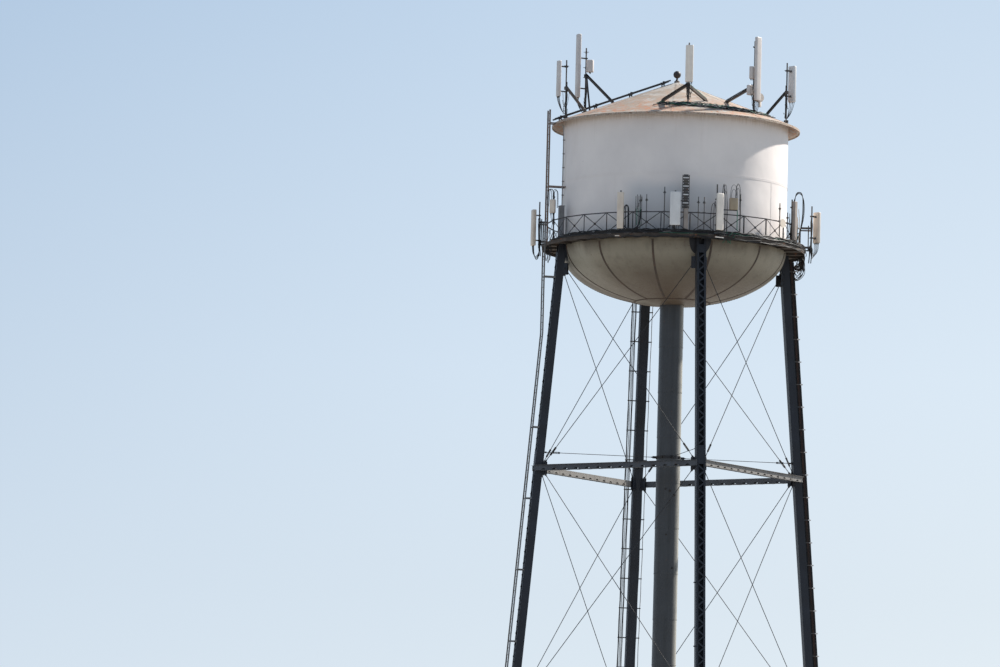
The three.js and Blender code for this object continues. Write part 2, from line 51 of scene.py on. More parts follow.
across_view = np.array([np.cos(camera_side), -np.sin(camera_side), 0])
into_view = np.array([np.sin(camera_side), np.cos(camera_side), 0])
upwards = np.array([0, 0, 1.0])
ahead = into_view * np.cos(camera_turn) - across_view * np.sin(camera_turn)
aside = across_view * np.cos(camera_turn) + into_view * np.sin(camera_turn)
look = ahead * np.cos(camera_tilt) + upwards * np.sin(camera_tilt)
rise = upwards * np.cos(camera_tilt) - ahead * np.sin(camera_tilt)
picture_right = aside * np.cos(camera_roll) + rise * np.sin(camera_roll)
picture_up = rise * np.cos(camera_roll) - aside * np.sin(camera_roll)
place = camera_height * upwards - camera_distance * into_view
camera = bpy.data.objects.new("camera", bpy.data.cameras.new("camera"))
camera.data.lens = lens
camera.data.clip_start = 1
camera.data.clip_end = 2000
camera.matrix_world = Matrix.Translation(place) @ Matrix(
    np.stack([picture_right, picture_up, -look], 1).tolist()).to_4x4()
bpy.context.scene.collection.objects.link(camera)
bpy.context.scene.camera = camera
bpy.context.scene.view_settings.view_transform = "Standard"


# Light. A sun about forty degrees high, to the right of the tower and somewhat behind it, and a plain
# pale sky that is brighter near the ground and towards the sun.
sun_from = np.array([0.699, 0.274, 0.660])
sun = bpy.data.objects.new("sun", bpy.data.lights.new("sun", "SUN"))
sun.data.energy = 8.4
sun.data.angle = np.radians(2.0)
sun.data.color = (1.0, 0.95, 0.87)
sun_aside = np.cross(upwards, sun_from)
sun_aside /= np.linalg.norm(sun_aside)
sun_axes = np.stack([sun_aside, np.cross(sun_from, sun_aside), sun_from], 1)
sun.matrix_world = Matrix(sun_axes.tolist()).to_4x4()
bpy.context.scene.collection.objects.link(sun)


def node(tree, kind, inputs=None, output=0, **settings):
    """Adds a shader node and gives one of its outputs. Inputs are numbers, colours or other nodes'
    outputs, by socket name or number."""
    made = tree.nodes.new("ShaderNode" + kind)
    for setting, value in settings.items():
        setattr(made, setting, value)
    for key, value in (inputs or {}).items():
        socket = made.inputs[key]
        if isinstance(value, bpy.types.NodeSocket):
            tree.links.new(value, socket)
        elif socket.type == "RGBA":
            socket.default_value = (*value, 1.0)
        else:
            socket.default_value = value
    return made.outputs[output]


def between(tree, value, low, high, first=0.0, last=1.0):
    """Runs from first to last as value runs from low to high, and stays level outside."""
    return node(tree, "MapRange", {"Value": value, "From Min": low, "From Max": high,
                                   "To Min": first, "To Max": last})


def mixed(tree, amount, first, second):
    """The colour that runs from first to second as amount runs from 0 to 1."""
    return node(tree, "Mix", {0: amount, 6: first, 7: second}, output=2, data_type="RGBA")


def times(tree, first, second, operation="MULTIPLY"):
    """Two numbers multiplied, or put together by another operation."""
    return node(tree, "Math", {0: first, 1: second}, operation=operation)


world = bpy.data.worlds.new("sky")
world.use_nodes = True
bpy.context.scene.world = world
sky_tree = world.node_tree
sky_tree.nodes.clear()
direction = node(sky_tree, "TexCoord", output="Generated")
height = node(sky_tree, "SeparateXYZ", {0: direction}, output="Z")
sunward = node(sky_tree, "VectorMath", {0: direction, 1: tuple(sun_from * [1, 1, 0])}, output="Value",
               operation="DOT_PRODUCT")
brightening = between(sky_tree, sunward, 0.33, 0.49, -0.045, 0.045)
darkening = times(sky_tree, height, brightening, "SUBTRACT")
low_sky = mixed(sky_tree, between(sky_tree, darkening, 0.03, 0.20), (0.758, 0.842, 0.907),
                (0.435, 0.574, 0.751))
sky = mixed(sky_tree, between(sky_tree, darkening, 0.20, 1.0), low_sky, (0.22, 0.30, 0.42))
haze = times(sky_tree, between(sky_tree, sunward, 0.35, 0.41), between(sky_tree, height, 0.07, 0.105))
sky = node(sky_tree, "VectorMath", {0: sky, "Scale": between(sky_tree, haze, 0.0, 1.0, 1.0, 1.065)},
           output="Vector", operation="SCALE")
ground_glow = (0.40, 0.385, 0.36)
everything = mixed(sky_tree, between(sky_tree, height, -0.004, 0.004), ground_glow, sky)
background = node(sky_tree, "Background", {"Color": everything, "Strength": 1.0})
node_out = sky_tree.nodes.new("ShaderNodeOutputWorld")
sky_tree.links.new(background, node_out.inputs["Surface"])


# Floor. A level, pale, plain disc that the piers stand on. It is as wide as the camera allows.
floor_radius = 180
floor_sides = 120


def grid(rows, columns, close_rows=False, close_columns=False):
    """The quads of a grid of points: each point with the next in its row and the same two in the next
    row. A closed direction joins its last points to its first."""
    row, column = np.meshgrid(np.arange(rows if close_rows else rows - 1),
                              np.arange(columns if close_columns else columns - 1), indexing="ij")
    next_row, next_column = (row + 1) % rows, (column + 1) % columns
    corners = [row * columns + column, row * columns + next_column,
               next_row * columns + next_column, next_row * columns + column]
    return np.stack(corners, -1).reshape(-1, 4)


def mesh_of(name, parts, smooth_below=0):
    """Puts parts, each its points and its arrays of faces, one after another into one mesh. Edges
    flatter than smooth_below degrees are shaded smooth."""
    points = np.concatenate([part_points for part_points, _ in parts])
    faces = []
    offset = 0
    for part_points, groups in parts:
        for group in groups:
            faces.extend((np.asarray(group) + offset).tolist())
        offset += len(part_points)
    mesh = bpy.data.meshes.new(name)
    mesh.from_pydata(points.tolist(), [], faces)
    if smooth_below:
        mesh.shade_smooth()
        mesh.set_sharp_from_angle(angle=np.radians(smooth_below))
    mesh.update()
    return mesh


def shaded(name, roughness=0.6, metallic=0.0):
    """A new material: gives it, its node tree, its surface shader and the place on the piece."""
    material = bpy.data.materials.new(name)
    material.use_nodes = True
    tree = material.node_tree
    shader = tree.nodes["Principled BSDF"]
    shader.inputs["Roughness"].default_value = roughness
    shader.inputs["Metallic"].default_value = metallic
    return material, tree, shader, node(tree, "TexCoord", output="Object")


def noise(tree, where, scale, detail=4.0, stretch=(1, 1, 1), roughness=0.55):
    """Cloudy noise from 0 to 1, with its pattern stretched where a part of stretch is below 1."""
    moved = node(tree, "Mapping", {"Vector": where, "Scale": stretch})
    return node(tree, "TexNoise", {"Vector": moved, "Scale": scale, "Detail": detail,
                                   "Roughness": roughness})


def surfaced(tree, shader, colour, roughness=None, layers=()):
    """Joins a colour, a roughness and layers of unevenness to a surface. A layer is the pattern of its
    height, its strength and its depth in metres, and lies on the layers before it."""
    tree.links.new(colour, shader.inputs["Base Color"])
    if roughness is not None:
        tree.links.new(roughness, shader.inputs["Roughness"])
    below = {}
    for height, strength, depth in layers:
        uneven = node(tree, "Bump", {"Height": height, "Strength": strength, "Distance": depth, **below},
                      output="Normal")
        below = {"Normal": uneven}
        tree.links.new(uneven, shader.inputs["Normal"])


floor_angle = np.arange(floor_sides) * 2 * np.pi / floor_sides
floor_points = np.stack([floor_radius * np.cos(floor_angle), floor_radius * np.sin(floor_angle),
                         0 * floor_angle], 1)
floor = bpy.data.objects.new("floor", mesh_of("floor", [(floor_points, [[np.arange(floor_sides)]])]))
floor_material, tree, shader, where = shaded("floor", roughness=0.95)
surfaced(tree, shader, mixed(tree, noise(tree, where, 0.12, 3), (0.29, 0.28, 0.26), (0.33, 0.32, 0.30)))
floor.data.materials.append(floor_material)
bpy.context.scene.collection.objects.link(floor)


# Piers. Square blocks of cast concrete with sloping sides under the legs, and an eight-sided one under
# the riser. The steel stands on them with anchor bolts, each with a washer and a six-sided nut.
sides = {"front": -np.pi / 2, "right": 0.0, "back": np.pi / 2, "left": np.pi}
pier_top = 0.45
base_plate_top = 0.481
leg_batter = 0.083
leg_depth = 0.34
anchor_out, anchor_aside = 0.215, 0.245


def leg_middle(level):
    """How far the middle of a leg stands from the tower's axis at a level."""
    upper_strut_level = 19.9
    return 5.747 - leg_batter * (level - upper_strut_level)


def turned_about(points, angle):
    """Points turned about the tower's axis."""
    x, y, z = np.moveaxis(np.asarray(points, float), -1, 0)
    return np.stack([x * np.cos(angle) - y * np.sin(angle), x * np.sin(angle) + y * np.cos(angle), z], -1)


def round_outline(radius, count):
    """The corners of a regular outline, counterclockwise."""
    angle = (np.arange(count) + 0.5) * 2 * np.pi / count
    return np.stack([radius * np.cos(angle), radius * np.sin(angle)], 1)


def box_outline(width, thickness):
    """The corners of a rectangle round the origin, counterclockwise."""
    return np.array([[-1, -1], [1, -1], [1, 1], [-1, 1]]) * [width / 2, thickness / 2]


def carried(paths, facing, outline, scale=1.0):
    """An outline carried along one or more paths of equally many points. At each point of a path its
    plane is square to the path: the outline's y lies along facing as far as it can, and its x across
    it. Point = path + scale * (x * across + y * up). The ends are closed."""
    paths = np.asarray(paths, float)
    paths = paths.reshape(-1, *paths.shape[-2:])
    outline = np.asarray(outline, float)
    scale = np.broadcast_to(scale, paths.shape[1])[:, None, None]
    along = np.gradient(paths, axis=1)
    along /= np.linalg.norm(along, axis=-1, keepdims=True)
    across = np.cross(np.broadcast_to(facing, paths.shape), along)
    across /= np.linalg.norm(across, axis=-1, keepdims=True)
    up = np.cross(along, across)
    points = paths[:, :, None] + scale * (outline[:, 0, None] * across[:, :, None]
                                          + outline[:, 1, None] * up[:, :, None])
    count, rows, columns = points.shape[:3]
    starts = np.arange(count)[:, None] * rows * columns
    around = (grid(rows, columns, close_columns=True)[None] + starts[:, :, None]).reshape(-1, 4)
    low_end = np.arange(columns)[::-1] + starts
    high_end = np.arange(columns) + (rows - 1) * columns + starts
    return points.reshape(-1, 3), [around, low_end, high_end]


def bars(starts, ends, facing, outline):
    """Straight bars of one outline between pairs of points."""
    paths = np.stack(np.broadcast_arrays(np.asarray(starts, float), np.asarray(ends, float)), -2)
    paths = paths.reshape(-1, 2, 3)
    facing = np.broadcast_to(np.asarray(facing, float), (len(paths), 3))
    return carried(paths, facing[:, None], outline)


def studs(places, facing, stack):
    """Bolts, nuts and washers: at each place a stack of round or six-sided slices, each given by its
    radius, start and end along facing, and number of sides."""
    places = np.asarray(places, float).reshape(-1, 3)
    facing = np.broadcast_to(np.asarray(facing, float), places.shape)
    beside = np.cross(facing, [0.31, 0.52, 0.79])
    return [bars(places + start * facing, places + end * facing, beside, round_outline(radius, count))
            for radius, start, end, count in stack]


def piece(name, parts, finish, stands_for=(), smooth_below=0):
    """One piece of the tower: its mesh, finish and material slot, on the body that all rides on."""
    made = bpy.data.objects.new(name, mesh_of(name, parts, smooth_below))
    made.data.materials.append(finish)
    bpy.context.scene.collection.objects.link(made)
    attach(made, "root")
    if stands_for:
        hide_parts(*stands_for)
    return made


def repaint(nodes, finish):
    """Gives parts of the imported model, whose shape is kept, their finish."""
    for name in nodes:
        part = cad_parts[name]
        part.data.materials.clear()
        part.data.materials.append(finish)


def weathered(name, paint, worn, patch=1.2, rust=(0.12, 0.045, 0.018), rust_share=0.1, streaks=0.3,
              roughness=0.6, metallic=0.0, chalk_and_painted_sun=None, dent=0.0, shine=0.5):
    """Old paint: its colour drifts from paint to worn in clouds of about 1/patch metres and in streaks
    that run down, and rust breaks through in small spots. Where a sunward colour is given, the faces
    that look towards the sun turn to it, partly as chalked paint and partly as painted sunlight. Dent
    is the depth of the plate's unevenness, and shine how much the paint mirrors."""
    material, tree, shader, where = shaded(name, roughness, metallic)
    shader.inputs["Specular IOR Level"].default_value = shine
    clouds = noise(tree, where, patch, 5)
    runs = noise(tree, where, 7, 4, stretch=(1, 1, 0.07))
    grain = noise(tree, where, 30, 6)
    colour = mixed(tree, between(tree, clouds, 0.36, 0.66), paint, worn)
    if chalk_and_painted_sun is not None:
        # Faces that look towards the sun turn lighter: partly chalked paint, partly painted sunlight.
        facing = node(tree, "NewGeometry", output="Normal")
        towards = node(tree, "VectorMath", {0: facing, 1: tuple(sun_from)}, output="Value",
                       operation="DOT_PRODUCT")
        sunward_mask_chalk_and_light = times(tree, between(tree, towards, 0.05, 0.5), between(tree, grain, 0.3, 0.55, 0.75, 1.0))
        colour = mixed(tree, sunward_mask_chalk_and_light, colour, chalk_and_painted_sun)
    dark_run = times(tree, between(tree, runs, 0.5, 0.72), streaks)
    colour = mixed(tree, dark_run, colour, tuple(0.55 * part for part in worn))
    spots = times(tree, between(tree, grain, 0.62, 0.72), between(tree, clouds, 0.45, 0.62))
    patches = between(tree, noise(tree, where, 4.5, 7), 0.70 - 0.25 * rust_share, 0.78 - 0.2 * rust_share)
    broken = times(tree, spots, patches, "MAXIMUM")
    colour = mixed(tree, times(tree, broken, min(1.0, 3 * rust_share + 0.15)), colour, rust)
    layers = [(grain, 0.5, 0.0015)]
    if dent:
        layers.append((noise(tree, where, 1.1, 2), 1.0, dent))
    surfaced(tree, shader, colour,
             between(tree, grain, 0.3, 0.7, roughness - 0.08, min(0.98, roughness + 0.12)), layers)
    return material


concrete, tree, shader, where = shaded("cast_concrete", roughness=0.92)
damp = between(tree, node(tree, "SeparateXYZ", {0: where}, output="Z"), 0.05, 0.3, 1.0, 0.0)
concrete_colour = mixed(tree, noise(tree, where, 2.2, 6), (0.36, 0.34, 0.30), (0.22, 0.21, 0.19))
damp_cloud = times(tree, damp, noise(tree, where, 5, 5))
concrete_colour = mixed(tree, damp_cloud, concrete_colour, (0.12, 0.11, 0.09))
run_off = between(tree, noise(tree, where, 9, 4, stretch=(1, 1, 0.1)), 0.55, 0.75, 0.0, 0.6)
concrete_colour = mixed(tree, run_off, concrete_colour, (0.24, 0.15, 0.09))
pores = node(tree, "TexVoronoi", {"Vector": where, "Scale": 26.0}, output="Distance")
roughcast = times(tree, between(tree, pores, 0.05, 0.2), noise(tree, where, 40, 6), "ADD")
surfaced(tree, shader, concrete_colour, layers=[(roughcast, 0.6, 0.003)])
repaint([f"pier_{side}" for side in sides] + ["riser_pier"], concrete)

leg_paint = weathered("leg_paint", (0.021, 0.025, 0.035), (0.015, 0.017, 0.023), patch=0.9,
                      rust_share=0.08, streaks=0.35, roughness=0.45, shine=0.3)
anchor_parts = []
for angle in sides.values():
    corners = np.array([[out, aside_of, 0] for out in (-anchor_out, anchor_out)
                        for aside_of in (-anchor_aside, anchor_aside)])
    bolts = turned_about(corners + [leg_middle(pier_top), 0, base_plate_top], angle)
    anchor_parts += studs(bolts, upwards, [(0.045, 0, 0.006, 16), (0.033, 0.006, 0.036, 6),
                                             (0.018, 0.036, 0.065, 10)])
piece("anchor_bolts", anchor_parts, leg_paint)


# Legs. Two steel channels with their toes turned in, riveted to a cover plate on the inside and held
# apart on the outside by zigzag lacing bars, with tie plates at the joints and gusset plates for the
# struts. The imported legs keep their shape; the lacing and the rivet heads are added.
plate_gap = 0.0004
tie_plate_face = leg_depth / 2 + 0.011
tie_plate_spans = [(0.475, 1.45), (9.2, 10.25), (19.85, 20.65), (28.938, 29.298)]
joint_levels = {"base": 1.1, "lower": 9.5, "upper": 19.9, "top": 28.55}
gusset_half = {"base": 0.25, "lower": 0.27, "upper": 0.27, "top": 0.25}
gusset_reach = 0.435
gusset_face = 0.0546
lacing_pitch = 0.25
lacing_aside = 0.152


def arrays(*values):
    """Numbers and arrays of numbers, all brought to one shape."""
    return np.broadcast_arrays(*[np.asarray(value, float) for value in values])


def on_leg(out, sideways, level, angle):
    """A point by its distances out of and beside the middle of the leg at that level."""
    out, sideways, level = arrays(out, sideways, level)
    return turned_about(np.stack([leg_middle(level) + out, sideways, level], -1), angle)


def rivets(places, facing, radius=0.017):
    """Rivet heads: a six-sided ring on the plate that narrows to a smaller one a little above it."""
    places = np.asarray(places, float).reshape(-1, 3)
    facing = np.broadcast_to(np.asarray(facing, float), places.shape)
    height = 0.6 * radius
    paths = np.stack([places - 0.1 * height * facing, places + height * facing], 1)
    beside = np.cross(facing, [0.31, 0.52, 0.79])
    return carried(paths, beside[:, None], round_outline(radius, 6), [1, 0.55])


for side, angle in sides.items():
    outward = turned_about([1, 0, leg_batter], angle)
    bar_face = leg_depth / 2 + plate_gap + 0.006
    parts = []
    for (_, low), (high, _) in zip(tie_plate_spans[:-1], tie_plate_spans[1:]):
        count = round((high - low) / lacing_pitch)
        levels = np.linspace(low + 0.04, high - 0.04, count + 1)
        swing = np.where(np.arange(count + 1) % 2, lacing_aside, -lacing_aside)
        lift = np.where(np.arange(count) % 2, 0.0006, 0)
        parts.append(bars(on_leg(bar_face + lift, swing[:-1], levels[:-1], angle),
                          on_leg(bar_face + lift, swing[1:], levels[1:], angle), outward,
                          box_outline(0.062, 0.012)))
        parts.append(rivets(on_leg(bar_face + 0.006, swing, levels, angle), outward, 0.021))
    for low, high in tie_plate_spans:
        rows = np.linspace(low + 0.05, high - 0.05, round((high - low) / 0.1))
        for sideways in (-0.175, -0.13, 0.13, 0.175):
            parts.append(rivets(on_leg(tie_plate_face, sideways, rows, angle), outward))
    for face in (-1, 1):
        along = turned_about([-np.sqrt(0.5), face * np.sqrt(0.5), 0], angle)
        away = turned_about([np.sqrt(0.5), face * np.sqrt(0.5), 0], angle)
        for joint, level in joint_levels.items():
            upper_rows = (0.15, 0.19, 0.235) if gusset_half[joint] > 0.26 else (0.07, 0.14, 0.21)
            rows = [way * row for way in (-1, 1) for row in upper_rows]
            spots = np.array([[reach, row] for reach in (0.25, 0.405) for row in rows])
            middle = on_leg(0, 0, level, angle)
            for way in (-1, 1):
                centres = middle + spots[:, :1] * along + spots[:, 1:] * upwards + way * gusset_face * away
                parts.append(rivets(centres, way * away, 0.016))
    piece(f"lacing_{side}", parts, leg_paint)
repaint([f"leg_{side}" for side in sides], leg_paint)

stub_levels = np.array([12.1, 14.8])
stub_parts = [bars(on_leg(0.10, -0.20, stub_levels, sides["front"]),
                   on_leg(0.10, -0.30, stub_levels, sides["front"]), upwards, box_outline(0.05, 0.05))]
piece("leg_step_stubs", stub_parts, leg_paint)


# Struts. Two channels on edge. The inner one is riveted to the gusset plates, the outer one's web runs on
# past the corners of the legs. A wider plate lies along their top, lacing bars under them, and each web
# has a row of openings low down. The faces that look towards the sun are lighter, partly as chalked
# paint and partly as painted sunlight.
faces = ["right_back", "back_left", "left_front", "front_right"]
strut_depth = 0.235
strut_inner, strut_outer = 0.055, 0.287
strut_web = 0.010
strut_start, strut_web_start = 0.24, -0.01
strut_ledge = 0.06
opening_pitch, opening_width, opening_height = 0.556, 0.25, 0.062
brace_paint = weathered("brace_paint", (0.066, 0.073, 0.086), (0.048, 0.050, 0.058), patch=1.4,
                        rust_share=0.15, streaks=0.4, roughness=0.65, chalk_and_painted_sun=(0.34, 0.315, 0.285))


def on_face(along, out, level, joint_level, face):
    """A point by its distance along a face of the tower from the middle of the face's first leg, its
    distance out of the face, and its level; the face is taken at the legs' middle at joint_level."""
    along, out, level = arrays(along, out, level)
    points = np.stack([leg_middle(joint_level) + (out - along) * np.sqrt(0.5),
                       (out + along) * np.sqrt(0.5), level], -1)
    return turned_about(points, face * np.pi / 2)


def strut_comb(start, end, centres):
    """A web's outline without its lowest strip: the lower edge has a notch at each centre, whose width
    runs from opening_width at its foot to less than half of that at its top."""
    foot = 0.024 - strut_depth / 2
    notches = np.stack([np.stack([centres + shift, 0 * centres + rise_of], 1) for shift, rise_of in
                        [(-opening_width / 2, foot), (-0.05, foot + opening_height),
                         (0.05, foot + opening_height), (opening_width / 2, foot)]], 1)
    return np.concatenate([[[start, foot]], notches.reshape(-1, 2),
                           [[end, foot], [end, strut_depth / 2], [start, strut_depth / 2]]])


for storey in ("lower", "upper"):
    level = joint_levels[storey]
    span = leg_middle(level) * np.sqrt(2)
    half_depth = strut_depth / 2
    opening_count = round((span - 0.9) / opening_pitch) + 1
    centres = span / 2 + (np.arange(opening_count) - (opening_count - 1) / 2) * opening_pitch
    for index, face_name in enumerate(faces):
        parts = []
        outward = turned_about([np.sqrt(0.5), np.sqrt(0.5), 0], index * np.pi / 2)
        for near, first in ((strut_outer - strut_web, strut_web_start), (strut_inner, strut_start)):
            start, end = on_face(0, [near, near + strut_web], level, level, index)
            inside = centres[(centres > first + 0.3) & (centres < span - first - 0.3)]
            strip = np.array([[first, -half_depth], [span - first, -half_depth],
                              [span - first, 0.026 - half_depth], [first, 0.026 - half_depth]])
            parts += [bars(start, end, upwards, outline)
                      for outline in (strut_comb(first, span - first, inside), strip)]
        middle = (strut_inner + strut_outer) / 2
        shelf = half_depth - strut_web / 2
        cover_rise = half_depth + 0.0045
        strips = [(strut_start, toe, rise_of, 0.062, strut_web) for rise_of in (-shelf, shelf)
                  for toe in (strut_outer - 0.04, strut_inner + 0.04)]
        strips += [(gusset_reach + 0.01, middle, cover_rise, strut_outer - strut_inner, 0.009),
                   (strut_web_start, strut_outer + strut_ledge / 2, cover_rise, strut_ledge, 0.009)]
        for first, out, rise_of, width, thickness in strips:
            parts.append(bars(on_face(first, out, level + rise_of, level, index),
                              on_face(span - first, out, level + rise_of, level, index), upwards,
                              box_outline(width, thickness)))
        steps = np.arange(gusset_reach + 0.06, span - gusset_reach - 0.06, opening_pitch / 2)
        swing = middle + np.where(np.arange(len(steps)) % 2, 0.075, -0.075)
        under = level - half_depth - 0.005
        parts.append(bars(on_face(steps[:-1], swing[:-1], under, level, index),
                          on_face(steps[1:], swing[1:], under, level, index), upwards,
                          box_outline(0.05, 0.009)))
        row = np.arange(0.15, span - 0.13, 0.15)
        seats = np.concatenate([np.stack([row, 0 * row + half_depth - 0.03], 1),
                                [[end_of, rise_of] for end_of in (0.02, 0.075, span - 0.02, span - 0.075)
                                 for rise_of in (-0.08, -0.02, 0.04)]])
        parts.append(rivets(on_face(seats[:, 0], strut_outer, level + seats[:, 1], level, index), outward,
                            0.014))
        row = row[(row > gusset_reach + 0.05) & (row < span - gusset_reach - 0.05)]
        parts.append(rivets(on_face(row, strut_inner, level + half_depth - 0.03, level, index), -outward,
                            0.014))
        piece(f"strut_{storey}_channels_{face_name}", parts, brace_paint,
              [f"strut_{storey}_{face_name}"])


# Tie rods. Two round rods cross in each panel of each face. Each ends in a fork on a pin between the
# gusset plates, and has a turnbuckle a little above its lower end that keeps it tight.
rod_radius = 0.0155
pin_reach = 0.32
rod_apart = 0.0162
pin_lift = 0.205
turnbuckle_place = 0.66
rod_paint = weathered("rod_paint", (0.028, 0.031, 0.038), (0.036, 0.031, 0.029), patch=2.0,
                      rust_share=0.15, streaks=0.2, roughness=0.6, shine=0.2)
panels = {"bottom": (("base", 0.0), ("lower", -pin_lift)),
          "middle": (("lower", pin_lift), ("upper", -pin_lift)),
          "top": (("upper", pin_lift), ("top", 0.0))}


def turnbuckle(centre, along, beside, length=0.36):
    """An open turnbuckle: two side bars between two six-sided ends."""
    sideways = np.cross(along, beside)
    ends = [bars(centre + way * (length / 2 - 0.03) * along, centre + way * (length / 2 + 0.03) * along,
                 beside, round_outline(0.043, 6)) for way in (-1, 1)]
    cheeks = [bars(centre - length / 2 * along + way * 0.032 * sideways,
                   centre + length / 2 * along + way * 0.032 * sideways, beside, box_outline(0.018, 0.03))
              for way in (-1, 1)]
    return ends + cheeks


for panel_name, (lower_end, upper_end) in panels.items():
    for index, face_name in enumerate(faces):
        outward = turned_about([np.sqrt(0.5), np.sqrt(0.5), 0], index * np.pi / 2)
        parts = []
        for way in (-1, 1):
            pins = []
            for (joint, lift), first_leg in ((lower_end, way > 0), (upper_end, way < 0)):
                level = joint_levels[joint]
                reach = pin_reach if first_leg else leg_middle(level) * np.sqrt(2) - pin_reach
                pins.append(on_face(reach, 0, level + lift, level, index))
            low_pin, high_pin = np.array(pins) + way * rod_apart * outward
            along = (high_pin - low_pin) / np.linalg.norm(high_pin - low_pin)
            parts.append(bars(low_pin + 0.17 * along, high_pin - 0.17 * along, outward,
                              round_outline(rod_radius, 10)))
            parts += turnbuckle(low_pin + turnbuckle_place * along, along, outward)
            for pin, inwards in ((low_pin, along), (high_pin, -along)):
                for cheek in (-0.017, 0.017):
                    parts.append(bars(pin - 0.035 * inwards + cheek * outward,
                                      pin + 0.15 * inwards + cheek * outward, outward,
                                      box_outline(0.075, 0.010)))
                parts.append(bars(pin + 0.12 * inwards, pin + 0.2 * inwards, outward,
                                  round_outline(0.023, 8)))
                middle = pin - way * rod_apart * outward
                parts.append(bars(middle - 0.064 * outward, middle + 0.064 * outward, upwards,
                                  round_outline(0.022, 10)))
                parts += studs([middle + cap * 0.0547 * outward for cap in (-1, 1)],
                               [-outward, outward], [(0.04, 0, 0.026, 6)])
        piece(f"tie_rods_{panel_name}_{face_name}", parts, rod_paint,
              [f"rods_{panel_name}_{face_name}"], smooth_below=50)


# Riser. A pipe of riveted steel rings about two metres high, each lapped over the one below, with a
# foot flange bolted to its pier. It carries the water up into the bottom of the bowl.
riser_low = 0.3804
riser_radius = 0.519
ring_seam, ring_height = 19.469, 1.963
ring_lap = 0.0035
# The riser's faces towards the sun are lighter, partly as chalked paint and partly as painted sunlight.
riser_paint = weathered("riser_paint", (0.031, 0.033, 0.038), (0.023, 0.024, 0.026), patch=0.8,
                        rust_share=0.12, streaks=0.55, roughness=0.40, chalk_and_painted_sun=(0.34, 0.325, 0.285),
                        dent=0.012, shine=0.6)
tank_radius, bowl_depth, spring_level = 4.877, 2.4, 29.6


def bowl_level(radius):
    """The level of the bowl's outside at a radius: half an ellipse below the spring line."""
    return spring_level - bowl_depth * np.sqrt(1 - (radius / tank_radius) ** 2)


def turned(profile, count=96):
    """A closed outline of radius and level, counterclockwise, turned about the tower's axis:
    point = (radius cos a, radius sin a, level), with a running round once."""
    profile = np.asarray(profile, float)
    angle = np.arange(count) * 2 * np.pi / count
    radius, level = profile[:, :1], profile[:, 1:]
    points = np.stack([radius * np.cos(angle), radius * np.sin(angle), level + 0 * angle], -1)
    return points.reshape(-1, 3), [grid(len(profile), count, close_rows=True, close_columns=True)]


def around(radius, level, count, from_angle=0.0):
    """Points spaced evenly on a level circle, and the directions away from the axis there."""
    angle = from_angle + np.arange(count) * 2 * np.pi / count
    away = np.stack([np.cos(angle), np.sin(angle), 0 * angle], 1)
    return radius * away + level * upwards, away


riser_high = bowl_level(0.52)
seams = ring_seam + ring_height * np.arange(-9, 4)
steps = np.stack([seams, seams], 1).ravel()
radii = np.tile([riser_radius - ring_lap, riser_radius + ring_lap], len(seams))
outside = np.concatenate([[[0.61, riser_low], [0.61, riser_low + 0.04], [riser_radius, riser_low + 0.04]],
                          np.stack([radii, steps], 1), [[riser_radius - ring_lap, riser_high]]])
inside = [[0.505, riser_high], [0.505, riser_low]]
riser_parts = [turned(np.concatenate([outside, inside]))]
for seam in seams:
    riser_parts.append(rivets(*around(riser_radius + ring_lap - 0.001, seam + 0.035, 40), 0.015))
for top in np.append(seams[1:], riser_high):
    rows = np.arange(top - ring_height + 0.1, top - 0.03, 0.085)
    spin = 1.1 if round((top - ring_seam) / ring_height) % 2 else 4.2
    beside_seam = turned_about(np.stack([0 * rows + riser_radius, 0 * rows, rows], 1), spin)
    riser_parts.append(rivets(beside_seam, turned_about([1, 0, 0], spin), 0.013))
foot_bolts, _ = around(0.572, riser_low + 0.04, 16, 0.1)
riser_parts += studs(foot_bolts, upwards, [(0.026, 0, 0.022, 6), (0.014, 0.022, 0.04, 8)])
piece("riser_rings", riser_parts, riser_paint, ["riser_pipe"], smooth_below=35)

# Small capped nozzles on the riser's front, some with rust round them.
nozzle_paint = weathered("nozzle_paint", (0.012, 0.012, 0.014), (0.03, 0.018, 0.012), rust_share=0.3)
nozzle_spots = [(-1.99, 19.22, 0.045), (-1.61, 19.14, 0.055), (-1.24, 18.96, 0.06), (-1.86, 17.24, 0.04),
                (-1.27, 15.81, 0.045)]
nozzle_parts = []
for spin, level, radius in nozzle_spots:
    away = np.array([np.cos(spin), np.sin(spin), 0])
    nozzle_parts += studs(away * riser_radius + level * upwards, away,
                          [(radius, -0.01, 0.016, 14), (0.55 * radius, 0.016, 0.03, 6)])
piece("riser_nozzles", nozzle_parts, nozzle_paint)


